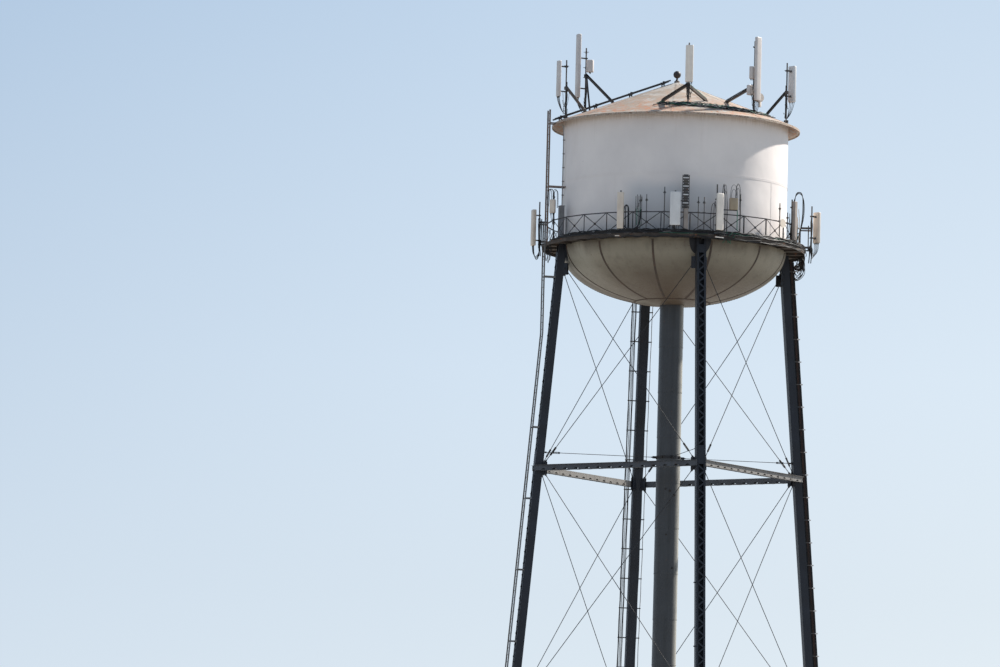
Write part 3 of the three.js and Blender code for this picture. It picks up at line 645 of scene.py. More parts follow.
# Riser stays. At each strut level a collar clasps the riser, and four level rods with forked ends run
# from it to the legs, so that the wind can't bend the riser.
collar_inner = riser_radius + ring_lap + 0.0005
for storey in ("lower", "upper"):
    level = joint_levels[storey] + 0.7
    parts = [turned([[collar_inner, level - 0.06], [collar_inner + 0.018, level - 0.06],
                     [collar_inner + 0.018, level + 0.06], [collar_inner, level + 0.06]], 64)]
    for angle in sides.values():
        outward = turned_about([1, 0, 0], angle)
        beside = turned_about([0, 1, 0], angle)
        leg_face = leg_middle(level + 0.05) - leg_depth / 2 - plate_gap
        centre = level * upwards
        for cheek in (-0.024, 0.024):
            parts.append(bars(centre + 0.535 * outward + cheek * beside,
                              centre + 0.70 * outward + cheek * beside, beside, box_outline(0.1, 0.014)))
        pin = centre + 0.655 * outward
        parts.append(bars(pin - 0.05 * beside, pin + 0.05 * beside, upwards, round_outline(0.02, 10)))
        for start, end, outline in ((0.63, 0.76, round_outline(0.026, 8)),
                                    (0.74, leg_face - 0.1, round_outline(0.0125, 10)),
                                    (leg_face - 0.13, leg_face - 0.012, box_outline(0.07, 0.02)),
                                    (leg_face - 0.014, leg_face, box_outline(0.1, 0.11))):
            parts.append(bars(centre + start * outward, centre + end * outward, beside, outline))
        parts += turnbuckle(centre + (leg_face - 0.55) * outward, outward, beside, 0.26)
        ear = centre + (collar_inner + 0.03) * turned_about([np.sqrt(0.5), np.sqrt(0.5), 0], angle)
        parts.append(bars(ear - 0.055 * upwards, ear + 0.055 * upwards,
                          turned_about([1, 1, 0], angle), box_outline(0.05, 0.07)))
    piece(f"riser_collar_and_stays_{storey}", parts, rod_paint, [f"riser_stays_{storey}"],
          smooth_below=40)


# Bowl. Twelve dished plates run from the shell down to a round bottom plate, each lapped and riveted to
# the next. The laps hold damp and have rusted dark; the paint on the plates has dulled to grey-brown.
tank_plate = 0.02
seam_start = np.radians(-84)
petal_count = 12
bottom_plate_radius = 1.65
lap_width, lap_thickness = 0.095, 0.010


def bowl_arc(start, end, count):
    """Radii and levels along the bowl's outside between two radii, evenly in the ellipse's angle, and
    the direction square to the surface there."""
    angle = np.linspace(np.arccos(start / tank_radius), np.arccos(end / tank_radius), count)
    radius, level = tank_radius * np.cos(angle), spring_level - bowl_depth * np.sin(angle)
    square = np.stack([np.cos(angle) / tank_radius, -np.sin(angle) / bowl_depth], 1)
    return np.stack([radius, level], 1), square / np.linalg.norm(square, axis=1, keepdims=True)


def level_and_angle(tree, where):
    """The level of a place on the tower, and its angle round the tower's axis from -pi to pi."""
    x, y, z = [node(tree, "SeparateXYZ", {0: where}, output=axis) for axis in "XYZ"]
    return z, times(tree, y, x, "ARCTAN2")


bowl_material, tree, shader, where = shaded("bowl_paint", roughness=0.5)
level_of, angle_of = level_and_angle(tree, where)
clouds = noise(tree, where, 0.9, 6)
fine = noise(tree, where, 14, 6)
colour = mixed(tree, between(tree, clouds, 0.35, 0.65), (0.168, 0.145, 0.110), (0.115, 0.095, 0.070))
colour = mixed(tree, between(tree, level_of, 28.1, 28.9, 0.0, 0.8), colour, (0.27, 0.245, 0.19))
# Darker and browner towards the bottom at the front of the bowl.
front_of_bowl = times(tree, between(tree, angle_of, -2.42, -2.05), between(tree, angle_of, -0.75, -1.12))
darker_lower_front = times(tree, front_of_bowl, between(tree, level_of, 29.0, 27.6, 0.12, 0.62))
colour = mixed(tree, darker_lower_front, colour, (0.060, 0.040, 0.026))
colour = mixed(tree, between(tree, angle_of, -2.56, -2.76, 0.0, 0.7), colour, (0.31, 0.29, 0.24))
run = noise(tree, where, 3.0, 5, stretch=(1, 1, 0.25))
colour = mixed(tree, between(tree, run, 0.50, 0.76, 0.0, 0.32), colour, (0.055, 0.040, 0.030))
colour = mixed(tree, between(tree, level_of, 28.4, 27.5, 0.0, 0.6), colour, (0.115, 0.078, 0.050))
# Darker patches just under the balcony: painted shade under its floor.
painted_shade_under_balcony = times(tree, between(tree, level_of, 29.0, 29.5), between(tree, clouds, 0.42, 0.60))
colour = mixed(tree, times(tree, painted_shade_under_balcony, 0.6), colour, (0.060, 0.042, 0.030))
spots = times(tree, between(tree, fine, 0.64, 0.72), between(tree, clouds, 0.4, 0.6))
colour = mixed(tree, spots, colour, (0.12, 0.045, 0.018))
surfaced(tree, shader, colour, between(tree, fine, 0.3, 0.7, 0.38, 0.6),
         [(fine, 0.5, 0.002), (noise(tree, where, 1.4, 2), 1.0, 0.02)])
arc, square = bowl_arc(tank_radius - 0.0005, 0.545, 44)
step_at = np.searchsorted(-arc[:, 0], -bottom_plate_radius)
raised = arc[step_at:] + 0.008 * square[step_at:]
outside = np.concatenate([arc[:step_at], raised, [[0.5235, raised[-1, 1]]]])
inside = outside * [1 - tank_plate / tank_radius, 1] + [0, tank_plate]
inside[0] = [tank_radius - tank_plate, spring_level]
inside[-1, 0] = 0.5235
profile = np.concatenate([inside, outside[::-1]])
piece("bowl_plates", [turned(profile, 144)], bowl_material, ["tank_bowl"], smooth_below=30)

seam_rust = weathered("rusted_laps", (0.058, 0.044, 0.036), (0.078, 0.052, 0.038), patch=2.5,
                      rust=(0.15, 0.065, 0.03), rust_share=0.3, streaks=0.3, roughness=0.7)
lap_arc, lap_square = bowl_arc(tank_radius - 0.004, bottom_plate_radius - 0.03, 26)
seam_parts = []
for index in range(petal_count):
    spin = seam_start + index * 2 * np.pi / petal_count
    path = turned_about(np.stack([lap_arc[:, 0], 0 * lap_arc[:, 0], lap_arc[:, 1]], 1), spin)
    facing = turned_about(np.stack([lap_square[:, 0], 0 * lap_arc[:, 0], lap_square[:, 1]], 1), spin)
    seam_parts.append(carried(path + 0.004 * facing, facing, box_outline(lap_width, lap_thickness)))
    beside = turned_about([0, 1, 0], spin)
    row = np.linspace(0, len(path) - 1.01, 42)
    low = row.astype(int)
    share = (row - low)[:, None]
    places = path[low] * (1 - share) + path[low + 1] * share + 0.0085 * facing[low]
    for way in (-0.028, 0.028):
        seam_parts.append(rivets(places + way * beside, facing[low], 0.014))
rim_arc, rim_square = bowl_arc(bottom_plate_radius + 0.02, bottom_plate_radius - 0.05, 3)
ring_outline = np.concatenate([rim_arc + 0.016 * rim_square, rim_arc[::-1] - 0.003 * rim_square[::-1]])
seam_parts.append(turned(ring_outline[::-1], 96))
ring_row = bottom_plate_radius - 0.035
ring_rivets, _ = around(ring_row, bowl_level(ring_row) - 0.017, 112)
seam_parts.append(rivets(ring_rivets, -upwards, 0.014))
piece("bowl_laps", seam_parts, seam_rust, smooth_below=30)


# Shell. Two courses of four bent plates each, the seams of one course halfway between those of the
# other. Every seam is a riveted lap. The white paint is streaked brown below the eave, and the front of
# the lower course is a cooler, darker grey.
course_seam, eave_level, apex_level = 32.37, 34.92, 37.0
eave_radius, eave_edge, roof_plate, eave_curb = 5.38, 0.014, 0.022, 0.09
shell_top = eave_level - roof_plate + (eave_radius - eave_edge - tank_radius) * (
    apex_level - eave_level) / (eave_radius - eave_edge) - plate_gap
shell_material, tree, shader, where = shaded("shell_paint", roughness=0.45)
level_of, angle_of = level_and_angle(tree, where)
clouds = noise(tree, where, 0.55, 5)
runs = noise(tree, where, 5.5, 5, stretch=(1, 1, 0.05))
fine_runs = noise(tree, where, 17, 4, stretch=(1, 1, 0.035))
specks = noise(tree, where, 11, 7)
colour = mixed(tree, between(tree, clouds, 0.35, 0.65), (0.757, 0.70, 0.671), (0.685, 0.632, 0.61))
# The front of the lower course turns a cooler, darker grey, with a cloudy upper edge.
patch = times(tree, between(tree, angle_of, -2.29, -2.12), between(tree, angle_of, -1.33, -1.50))
patch = times(tree, patch, between(tree, times(tree, level_of, clouds, "ADD"), 32.75, 32.25))
colour = mixed(tree, times(tree, patch, 0.65), colour, (0.47, 0.48, 0.50))
long_run = times(tree, between(tree, runs, 0.56, 0.80), between(tree, level_of, 33.1, 34.9, 0.0, 0.22))
colour = mixed(tree, long_run, colour, (0.48, 0.41, 0.34))
under_eave = between(tree, times(tree, level_of, times(tree, fine_runs, 0.55), "ADD"), 34.95, 35.30)
colour = mixed(tree, times(tree, under_eave, 0.55), colour, (0.36, 0.28, 0.20))
rust_run = times(tree, between(tree, fine_runs, 0.70, 0.78), between(tree, level_of, 34.2, 34.8))
colour = mixed(tree, times(tree, rust_run, 0.5), colour, (0.42, 0.20, 0.09))
splash = times(tree, between(tree, level_of, 30.25, 29.65), between(tree, specks, 0.42, 0.62))
colour = mixed(tree, times(tree, splash, 0.8), colour, (0.26, 0.24, 0.22))
pits = between(tree, specks, 0.735, 0.77)
colour = mixed(tree, pits, colour, (0.16, 0.09, 0.055))
colour = mixed(tree, between(tree, level_of, 29.645, 29.64), colour, (0.055, 0.045, 0.036))
surfaced(tree, shader, colour, between(tree, runs, 0.3, 0.7, 0.38, 0.6),
         [(specks, 0.4, 0.001), (noise(tree, where, 0.8, 2), 1.0, 0.025)])
inner_radius = tank_radius - tank_plate
for name, low, high in (("lower", spring_level + plate_gap, course_seam),
                        ("upper", course_seam + plate_gap, shell_top)):
    outline = [[inner_radius, low], [tank_radius, low], [tank_radius, high], [inner_radius, high]]
    piece(f"shell_{name}_plates", [turned(outline, 180)], shell_material,
          [f"shell_{name}_course"], smooth_below=30)

shell_lap, lap_proud = 0.105, 0.006
lap_parts = []
girth_low, girth_high = course_seam - shell_lap / 2, course_seam + shell_lap / 2
for first, low, high in ((np.pi / 4, 29.66, girth_low), (0, girth_high, 34.86)):
    for spin in first + np.arange(4) * np.pi / 2:
        away = np.array([np.cos(spin), np.sin(spin), 0])
        middle = (tank_radius + lap_proud / 2 - 0.002) * away
        lap_parts.append(bars(middle + low * upwards, middle + high * upwards, away,
                              box_outline(shell_lap, lap_proud + 0.002)))
        rows = np.arange(low + 0.05, high - 0.02, 0.078)
        for shift in (-0.028, 0.028):
            beside = shift * np.array([-away[1], away[0], 0])
            lap_parts.append(rivets((tank_radius + lap_proud - 0.001) * away + beside
                                    + rows[:, None] * upwards, away, 0.014))
lap_parts.append(turned([[tank_radius - 0.004, girth_low], [tank_radius + lap_proud, girth_low],
                         [tank_radius + lap_proud, girth_high], [tank_radius - 0.004, girth_high]], 180))
for level, proud in ((course_seam - 0.028, lap_proud), (course_seam + 0.028, lap_proud), (34.82, 0.0)):
    lap_parts.append(rivets(*around(tank_radius + proud - 0.001, level, 384), 0.014))
piece("shell_laps", lap_parts, shell_material, smooth_below=30)


# Roof. A flat cone of sixteen plates lapped and riveted along the slope, with a short curb hanging from
# its eave. The pink-beige paint has worn through to orange rust, most of all near the eave.
roof_material, tree, shader, where = shaded("roof_paint", roughness=0.8)
flat = node(tree, "VectorMath", {0: where, 1: (1, 1, 0)}, output="Vector", operation="MULTIPLY")
radius_of = node(tree, "VectorMath", {0: flat}, output="Value", operation="LENGTH")
around_axis = node(tree, "VectorMath", {0: flat}, output="Vector", operation="NORMALIZE")
along_slope = node(tree, "CombineXYZ", {"Z": times(tree, radius_of, 0.42)})
sloping = node(tree, "VectorMath", {0: around_axis, 1: along_slope}, output="Vector", operation="ADD")
clouds = noise(tree, where, 0.8, 6)
blotches = noise(tree, where, 5.2, 9, roughness=0.72)
runs = noise(tree, sloping, 5.5, 8, roughness=0.66)
specks = noise(tree, where, 24, 6)
colour = mixed(tree, between(tree, clouds, 0.35, 0.65), (0.345, 0.27, 0.21), (0.285, 0.24, 0.20))
grey = between(tree, noise(tree, where, 1.7, 5), 0.50, 0.62)
colour = mixed(tree, times(tree, grey, 0.75), colour, (0.40, 0.385, 0.36))
near_eave = between(tree, radius_of, 1.2, 5.2)
wear = times(tree, between(tree, runs, 0.46, 0.62), times(tree, near_eave, 0.5))
colour = mixed(tree, wear, colour, (0.40, 0.17, 0.075))
bare = times(tree, between(tree, blotches, 0.53, 0.60), between(tree, radius_of, 2.2, 5.2, 0.1, 1.0))
colour = mixed(tree, bare, colour, (0.44, 0.13, 0.045))
dark = times(tree, between(tree, specks, 0.60, 0.68), between(tree, blotches, 0.45, 0.6))
colour = mixed(tree, times(tree, dark, 0.8), colour, (0.075, 0.04, 0.028))
edge = between(tree, radius_of, 5.355, 5.38)
# A lighter band round the eave's rim and over its curb is a painted highlight on the edge.
colour = mixed(tree, times(tree, between(tree, radius_of, 5.24, 5.33), 0.7), colour, (0.46, 0.405, 0.345))
colour = mixed(tree, times(tree, edge, between(tree, specks, 0.46, 0.62)), colour, (0.15, 0.075, 0.042))
surfaced(tree, shader, colour, between(tree, blotches, 0.4, 0.6, 0.62, 0.92),
         [(blotches, 0.5, 0.004), (noise(tree, where, 1.2, 2), 1.0, 0.03)])


def roof_level(radius):
    """The level of the roof's top at a radius."""
    return eave_level + (eave_radius - radius) * (apex_level - eave_level) / eave_radius


def turned_solid(profile, count=96):
    """A solid turned about the tower's axis, whose outline starts and ends on the axis and runs
    counterclockwise. Its two points on the axis close it with fans of triangles."""
    profile = np.asarray(profile, float)
    angle = np.arange(count) * 2 * np.pi / count
    radius, level = profile[1:-1, :1], profile[1:-1, 1:]
    rings = np.stack([radius * np.cos(angle), radius * np.sin(angle), level + 0 * angle], -1).reshape(-1, 3)
    points = np.concatenate([[profile[0, 1] * upwards], rings, [profile[-1, 1] * upwards]])
    here, beside = np.arange(count), (np.arange(count) + 1) % count
    last = 1 + (len(profile) - 3) * count
    low_fan = np.stack([0 * here, 1 + beside, 1 + here], 1)
    high_fan = np.stack([last + here, last + beside, np.full(count, len(points) - 1)], 1)
    return points, [grid(len(profile) - 2, count, close_columns=True) + 1, low_fan, high_fan]


curb_inside = eave_radius - eave_edge
slope = np.linspace(1, 0, 12)[:, None]
top_line = slope * [eave_radius, eave_level] + (1 - slope) * [0.12, roof_level(0.12)]
under_line = (1 - slope) * [curb_inside, eave_level - roof_plate] + slope * [0.001, apex_level - roof_plate]
roof_outline = np.concatenate([
    [[0, apex_level - roof_plate]], under_line,
    [[curb_inside, eave_level - eave_curb], [eave_radius, eave_level - eave_curb]],
    top_line, [[0.12, apex_level], [0, apex_level]]])
piece("roof_plates", [turned_solid(roof_outline, 180)], roof_material, ["roof"],
      smooth_below=30)

roof_sectors = 16
slope_square = np.array([apex_level - eave_level, 0, eave_radius])
slope_square /= np.linalg.norm(slope_square)
roof_parts = []
for spin in (np.arange(roof_sectors) + 0.3) * 2 * np.pi / roof_sectors:
    facing = turned_about(slope_square, spin)
    ends = turned_about([[5.36, 0, roof_level(5.36)], [0.3, 0, roof_level(0.3)]], spin)
    roof_parts.append(bars(*(ends + 0.003 * facing), facing, box_outline(0.075, 0.009)))
    share = np.linspace(0.02, 0.98, 40)[:, None]
    roof_parts.append(rivets(ends[0] * (1 - share) + ends[1] * share + 0.007 * facing, facing, 0.014))
roof_parts.append(rivets(*around(eave_radius - 0.0005, eave_level - 0.045, 200), 0.011))
piece("roof_laps", roof_parts, roof_material, smooth_below=30)

# Roof ball. A dark hollow ball on a short flared stem at the tip of the roof.
ball_radius, ball_stem = 0.165, 0.15
ball_middle = apex_level + ball_stem + ball_radius
ball_paint = weathered("ball_paint", (0.022, 0.020, 0.022), (0.05, 0.033, 0.024), patch=5, rust_share=0.4,
                       roughness=0.55)
bow = np.linspace(-np.pi / 2 + 0.26, np.pi / 2, 24)
ball_line = np.stack([ball_radius * np.cos(bow), ball_middle + ball_radius * np.sin(bow)], 1)
foot = apex_level + plate_gap
flare = np.linspace(0, 1, 8)[:, None]
stem_line = (np.array([0.042, foot + 0.03]) + flare * [0, ball_stem - 0.03]
             + (1 - flare) ** 3 * [0.055, 0])
ball_line[-1, 0] = 0
outline = np.concatenate([[[0, foot], [0.115, foot], [0.115, foot + 0.025]], stem_line, ball_line])
piece("roof_ball_and_stem", [turned_solid(outline, 32)], ball_paint, ["roof_ball"],
      smooth_below=40)


# Balcony. A ring of floor plates around the tank at the spring line, on brackets, with a rim that hangs
# down at its outer edge. It is brown with rust and grime.
balcony_under, balcony_top, balcony_radius, rim_drop = 29.638, 29.65, 5.69, 0.14
balcony_paint = weathered("balcony_paint", (0.085, 0.066, 0.054), (0.045, 0.035, 0.029), patch=1.6,
                          rust=(0.22, 0.09, 0.04), rust_share=0.4, streaks=0.6, roughness=0.85)
rim_inside = balcony_radius - 0.014
floor_outline = [[tank_radius + plate_gap, balcony_under], [rim_inside, balcony_under],
                 [rim_inside, balcony_top - rim_drop], [balcony_radius, balcony_top - rim_drop],
                 [balcony_radius, balcony_top], [tank_radius + plate_gap, balcony_top]]
piece("balcony_floor", [turned(floor_outline, 168)], balcony_paint, ["balcony"],
      smooth_below=30)
bay_count = 28
bay_angle = 2 * np.pi / bay_count
bracket_parts = []
for spin in -np.pi / 4 + (np.arange(bay_count) + 0.5) * bay_angle:
    inner, outer = turned_about([[4.885, 0, 0], [5.672, 0, 0]], spin)
    for level, outline in ((balcony_under - 0.041, box_outline(0.009, 0.08)),
                           (balcony_under - 0.076, box_outline(0.07, 0.008))):
        bracket_parts.append(bars(inner + level * upwards, outer + level * upwards, upwards, outline))
bracket_parts.append(turned([[4.878, balcony_top], [4.955, balcony_top], [4.955, balcony_top + 0.008],
                             [4.886, balcony_top + 0.008], [4.886, balcony_top + 0.07],
                             [4.878, balcony_top + 0.07]], 144))
bracket_parts.append(turned([[balcony_radius - 0.07, balcony_top], [balcony_radius + 0.012, balcony_top],
                             [balcony_radius + 0.012, balcony_top + 0.01],
                             [balcony_radius - 0.07, balcony_top + 0.01]], 168))
for level in (balcony_top - 0.1, balcony_top - 0.045):
    bracket_parts.append(rivets(*around(balcony_radius, level, 224), 0.011))
piece("balcony_brackets_and_curbs", bracket_parts, balcony_paint, smooth_below=30)


# Railing. Posts of steel angle with a top rail and a low rail, and in every bay two flat bars that cross
# under a round bolted plate. It is dark, with rust where the bars meet.
railing_radius, railing_height = 5.5, 0.96
railing_paint = weathered("railing_paint", (0.036, 0.036, 0.042), (0.060, 0.047, 0.042), patch=2.5,
                          rust=(0.16, 0.07, 0.035), rust_share=0.3, streaks=0.4, roughness=0.7)
angle_outline = np.array([[-0.021, -0.021], [0.021, -0.021], [0.021, -0.013], [-0.013, -0.013],
                          [-0.013, 0.021], [-0.021, 0.021]])
top_rail = balcony_top + railing_height - 0.019
low_rail = balcony_top + 0.07
bays_in_section = bay_count // 4
for number, side in enumerate(sides):
    place_of = -np.pi / 4 + number * np.pi / 2 - np.pi / 2 + np.arange(bays_in_section + 1) * bay_angle
    away = np.stack([np.cos(place_of), np.sin(place_of), 0 * place_of], 1)
    posts = railing_radius * away
    mid = (posts[:-1] + posts[1:]) / 2
    mid_away = mid / np.linalg.norm(mid, axis=1, keepdims=True)
    lift = upwards[None]
    parts = [bars(posts[:-1] + (balcony_top + plate_gap) * lift, posts[:-1] + (top_rail + 0.019) * lift,
                  away[:-1], angle_outline)]
    shrink = 0.0045 * (posts[1:] - posts[:-1])
    ends = posts[1:] - shrink
    for rail, outline in ((top_rail, box_outline(0.042, 0.034)), (low_rail, box_outline(0.036, 0.012))):
        parts.append(bars(posts[:-1] + rail * lift, ends + rail * lift, mid_away, outline))
    for shift, first, last in ((0.012, low_rail, top_rail), (0.021, top_rail, low_rail)):
        parts.append(bars(posts[:-1] + first * lift + shift * mid_away,
                          ends + last * lift + shift * mid_away, mid_away, box_outline(0.034, 0.008)))
    centre = mid + (top_rail + low_rail) / 2 * lift
    parts += studs(centre, mid_away, [(0.055, 0.006, 0.03, 12), (0.016, 0.03, 0.045, 6)])
    for rail in (low_rail, top_rail):
        parts += studs(posts[:-1] + rail * lift, away[:-1], [(0.013, 0.019, 0.032, 6)])
    feet = posts[:-1] + (balcony_top + 0.011) * lift
    parts.append(bars(feet - 0.03 * away[:-1], feet + 0.06 * away[:-1], lift, box_outline(0.09, 0.01)))
    piece(f"railing_bars_{side}", parts, railing_paint, [f"railing_{side}"],
          smooth_below=30)


# Ladders. Two flat side rails with round rungs 305 mm apart. One climbs the left leg and then stands
# upright to the balcony, one stands on the balcony against the eave, and one lies along the roof.
ladder_half, rung_pitch, rung_radius = 0.2, 0.305, 0.011
leg_standoff = 0.26
leg_ladder_out = balcony_radius + 0.046
knee_level, ladder_foot = 25.75, 0.7
tank_ladder_out = 5.65
ladder_steel = weathered("ladder_steel", (0.19, 0.20, 0.215), (0.13, 0.115, 0.10), patch=1.8,
                         rust=(0.16, 0.075, 0.04), rust_share=0.35, streaks=0.5, roughness=0.6,
                         metallic=0.2)
brown_ladder = weathered("brown_ladder", (0.23, 0.165, 0.135), (0.13, 0.10, 0.085), patch=2.5,
                         rust=(0.17, 0.07, 0.035), rust_share=0.5, streaks=0.4, roughness=0.75)
black_ladder = weathered("black_ladder", (0.030, 0.031, 0.034), (0.055, 0.047, 0.042), patch=2.0,
                         rust_share=0.2, streaks=0.3, roughness=0.65)


def ladder(route, rail=(0.062, 0.011)):
    """Rails and rungs along a route of [distance out, level] points on the left side, where each stretch
    has the whole number of rungs nearest to one every 305 mm."""
    route = np.asarray(route, float)
    left = sides["left"]
    made = []
    for start, end in zip(route[:-1], route[1:]):
        along = (end - start) / np.linalg.norm(end - start)
        square = turned_about([along[1], 0, -along[0]], left)
        for way in (-1, 1):
            beside = way * ladder_half
            ends = turned_about([[start[0], beside, start[1]], [end[0], beside, end[1]]], left)
            made.append(bars(*ends, square, box_outline(rail[1], rail[0])))
        count = max(1, round(np.linalg.norm(end - start) / rung_pitch))
        share = (np.arange(count) + 0.5)[:, None] / count
        middle = start * (1 - share) + end * share
        spots = np.stack([middle[:, 0], 0 * middle[:, 0], middle[:, 1]], 1)
        reach = [0, ladder_half + 0.012, 0]
        made.append(bars(turned_about(spots - reach, left), turned_about(spots + reach, left), square,
                         round_outline(rung_radius, 8)))
    return made


def ladder_arms(inner, outer, level):
    """A pair of flat arms at one level from inner to outer, with an angle across their inner ends."""
    made = []
    for way in (0.008 - ladder_half, ladder_half - 0.008):
        ends = turned_about([[inner, way, level], [outer, way, level]], sides["left"])
        made.append(bars(*ends, upwards, box_outline(0.012, 0.05)))
    ends = turned_about([[inner + 0.006, -0.2, level], [inner + 0.006, 0.2, level]], sides["left"])
    made.append(bars(*ends, upwards, box_outline(0.012, 0.07)))
    return made


foot_out = leg_middle(ladder_foot) + leg_depth / 2 + leg_standoff
leg_ladder_parts = ladder([[foot_out, ladder_foot], [leg_ladder_out, knee_level], [leg_ladder_out, 30.62]])
for level in [*np.arange(21.67, 0.8, -3.08), 28.2]:
    tied = any(low < level + 0.04 and level - 0.04 < high for low, high in tie_plate_spans)
    inner = leg_middle(level - 0.035) + leg_depth / 2 + (0.012 if tied else 0.001)
    share = (level - ladder_foot) / (knee_level - ladder_foot)
    outer = foot_out + min(share, 1) * (leg_ladder_out - foot_out)
    leg_ladder_parts += ladder_arms(inner, outer, level)
piece("leg_ladder_rails_and_rungs", leg_ladder_parts, ladder_steel, ["leg_ladder"],
      smooth_below=30)

tank_ladder_parts = ladder([[tank_ladder_out, balcony_top + 0.005], [tank_ladder_out, eave_level + 0.53]],
                           rail=(0.07, 0.02))
tank_ladder_parts += ladder_arms(tank_radius + 0.008, tank_ladder_out, course_seam - 0.25)
tank_ladder_parts += ladder_arms(eave_radius + 0.002, tank_ladder_out, eave_level - 0.045)
piece("tank_ladder_rails_and_rungs", tank_ladder_parts, brown_ladder, ["tank_ladder"],
      smooth_below=30)

roof_lift = 0.15
roof_route = [[radius, roof_level(radius) + roof_lift] for radius in (eave_radius + 0.06, 0.33)]
roof_ladder_parts = ladder(roof_route, rail=(0.065, 0.022))
for radius in (5.15, 3.6, 2.05, 0.62):
    for way in (-ladder_half, ladder_half):
        ends = turned_about([[radius, way, roof_level(radius) - 0.003],
                             [radius, way, roof_level(radius) + roof_lift]], sides["left"])
        roof_ladder_parts.append(bars(*ends, turned_about([1, 0, 0], sides["left"]),
                                      box_outline(0.012, 0.05)))
        clamp = turned_about([radius, way, roof_level(radius) + roof_lift], sides["left"])
        roof_ladder_parts.append(bars(clamp - [0.06, 0, 0], clamp + [0.06, 0, 0], upwards,
                                      box_outline(0.05, 0.11)))
piece("roof_ladder_rails_and_rungs", roof_ladder_parts, black_ladder, ["roof_ladder"],
      smooth_below=30)


# Cables. Black and brown coaxial cables climb the right leg and a few climb the back leg, clamped to
# short bars that stand off the leg. They go over the balcony's rim, lie round its edge in bundles, and
# hang in loops under it.
cable_black = weathered("cable_black", (0.014, 0.014, 0.016), (0.028, 0.027, 0.028), patch=3,
                        rust_share=0.0, streaks=0.1, roughness=0.5, shine=0.25)
cable_brown = weathered("cable_brown", (0.055, 0.030, 0.024), (0.035, 0.026, 0.023), patch=3,
                        rust_share=0.0, streaks=0.1, roughness=0.6, shine=0.25)
cable_green = weathered("cable_green", (0.010, 0.135, 0.075), (0.012, 0.085, 0.055), patch=3,
                        rust_share=0.0, streaks=0.1, roughness=0.5)
cable_grey = weathered("cable_grey", (0.33, 0.34, 0.36), (0.24, 0.235, 0.23), patch=3, rust_share=0.0,
                       streaks=0.2, roughness=0.55)
clamp_metal = weathered("clamp_metal", (0.62, 0.56, 0.52), (0.50, 0.46, 0.43), patch=4, rust_share=0.1,
                        streaks=0.1, roughness=0.45)
mount_paint = weathered("mount_paint", (0.060, 0.061, 0.066), (0.095, 0.082, 0.072), patch=3.0,
                        rust=(0.17, 0.08, 0.045), rust_share=0.3, streaks=0.3, roughness=0.6, metallic=0.2)
chance = np.random.default_rng(7)


def hoses(paths, radius, count=7):
    """Cables: a circle carried along each path. It faces the way that the path bends least."""
    paths = np.asarray(paths, float)
    paths = paths.reshape(-1, *paths.shape[-2:])
    least = np.linalg.svd(np.gradient(paths, axis=1))[2][:, -1]
    return carried(paths, least[:, None], round_outline(radius, count))


def through(points, count=26):
    """A smooth path through points: each stretch is a cubic in t whose slope at a point is half the way
    from the point before it to the point after it. Points may be (paths, points, 3)."""
    points = np.asarray(points, float)
    points = points.reshape(-1, *points.shape[-2:])
    padded = np.concatenate([2 * points[:, :1] - points[:, 1:2], points,
                             2 * points[:, -1:] - points[:, -2:-1]], 1)
    place_of = np.linspace(0, points.shape[1] - 1.0001, count)
    stretch = place_of.astype(int)
    t = (place_of - stretch)[None, :, None]
    before, start, end, after = (padded[:, stretch + step] for step in range(4))
    return 0.5 * (2 * start + (end - before) * t + (2 * before - 5 * start + 4 * end - after) * t ** 2
                  + (3 * start - before - 3 * end + after) * t ** 3)


def polar(radius, spin, level):
    """Points by their distance from the tower's axis, angle and level."""
    radius, spin, level = arrays(radius, spin, level)
    return np.stack([radius * np.cos(spin), radius * np.sin(spin), level], -1)


run_low, run_high = 0.604, 29.37
run_levels = np.linspace(run_low, run_high, 90)
cable_runs = {"right": ((0.30, 0.021, 0.98, 0.13),
                        [(-0.115, -0.080, "black"), (-0.118, -0.035, "brown"), (-0.112, 0.012, "brown"),
                         (-0.108, 0.060, "black"), (-0.112, 0.100, "black"), (-0.065, -0.060, "black"),
                         (-0.060, -0.012, "brown"), (-0.066, 0.036, "black"), (-0.058, 0.084, "brown"),
                         (0.0, -0.030, "black"), (0.01, 0.060, "brown"), (0.09, -0.05, "black"),
                         (0.10, 0.08, "black")]),
              "back": ((0.275, 0.016, 1.30, 0.02),
                       [(0.50, 0.0, "black"), (0.468, 0.018, "black"), (0.418, -0.01, "grey"),
                        (0.352, 0.01, "black"), (0.318, -0.014, "black"), (-0.295, 0.0, "black"),
                        (-0.425, 0.0, "grey")])}
loose_paint = {"black": cable_black, "brown": cable_brown, "grey": cable_grey, "green": cable_green}
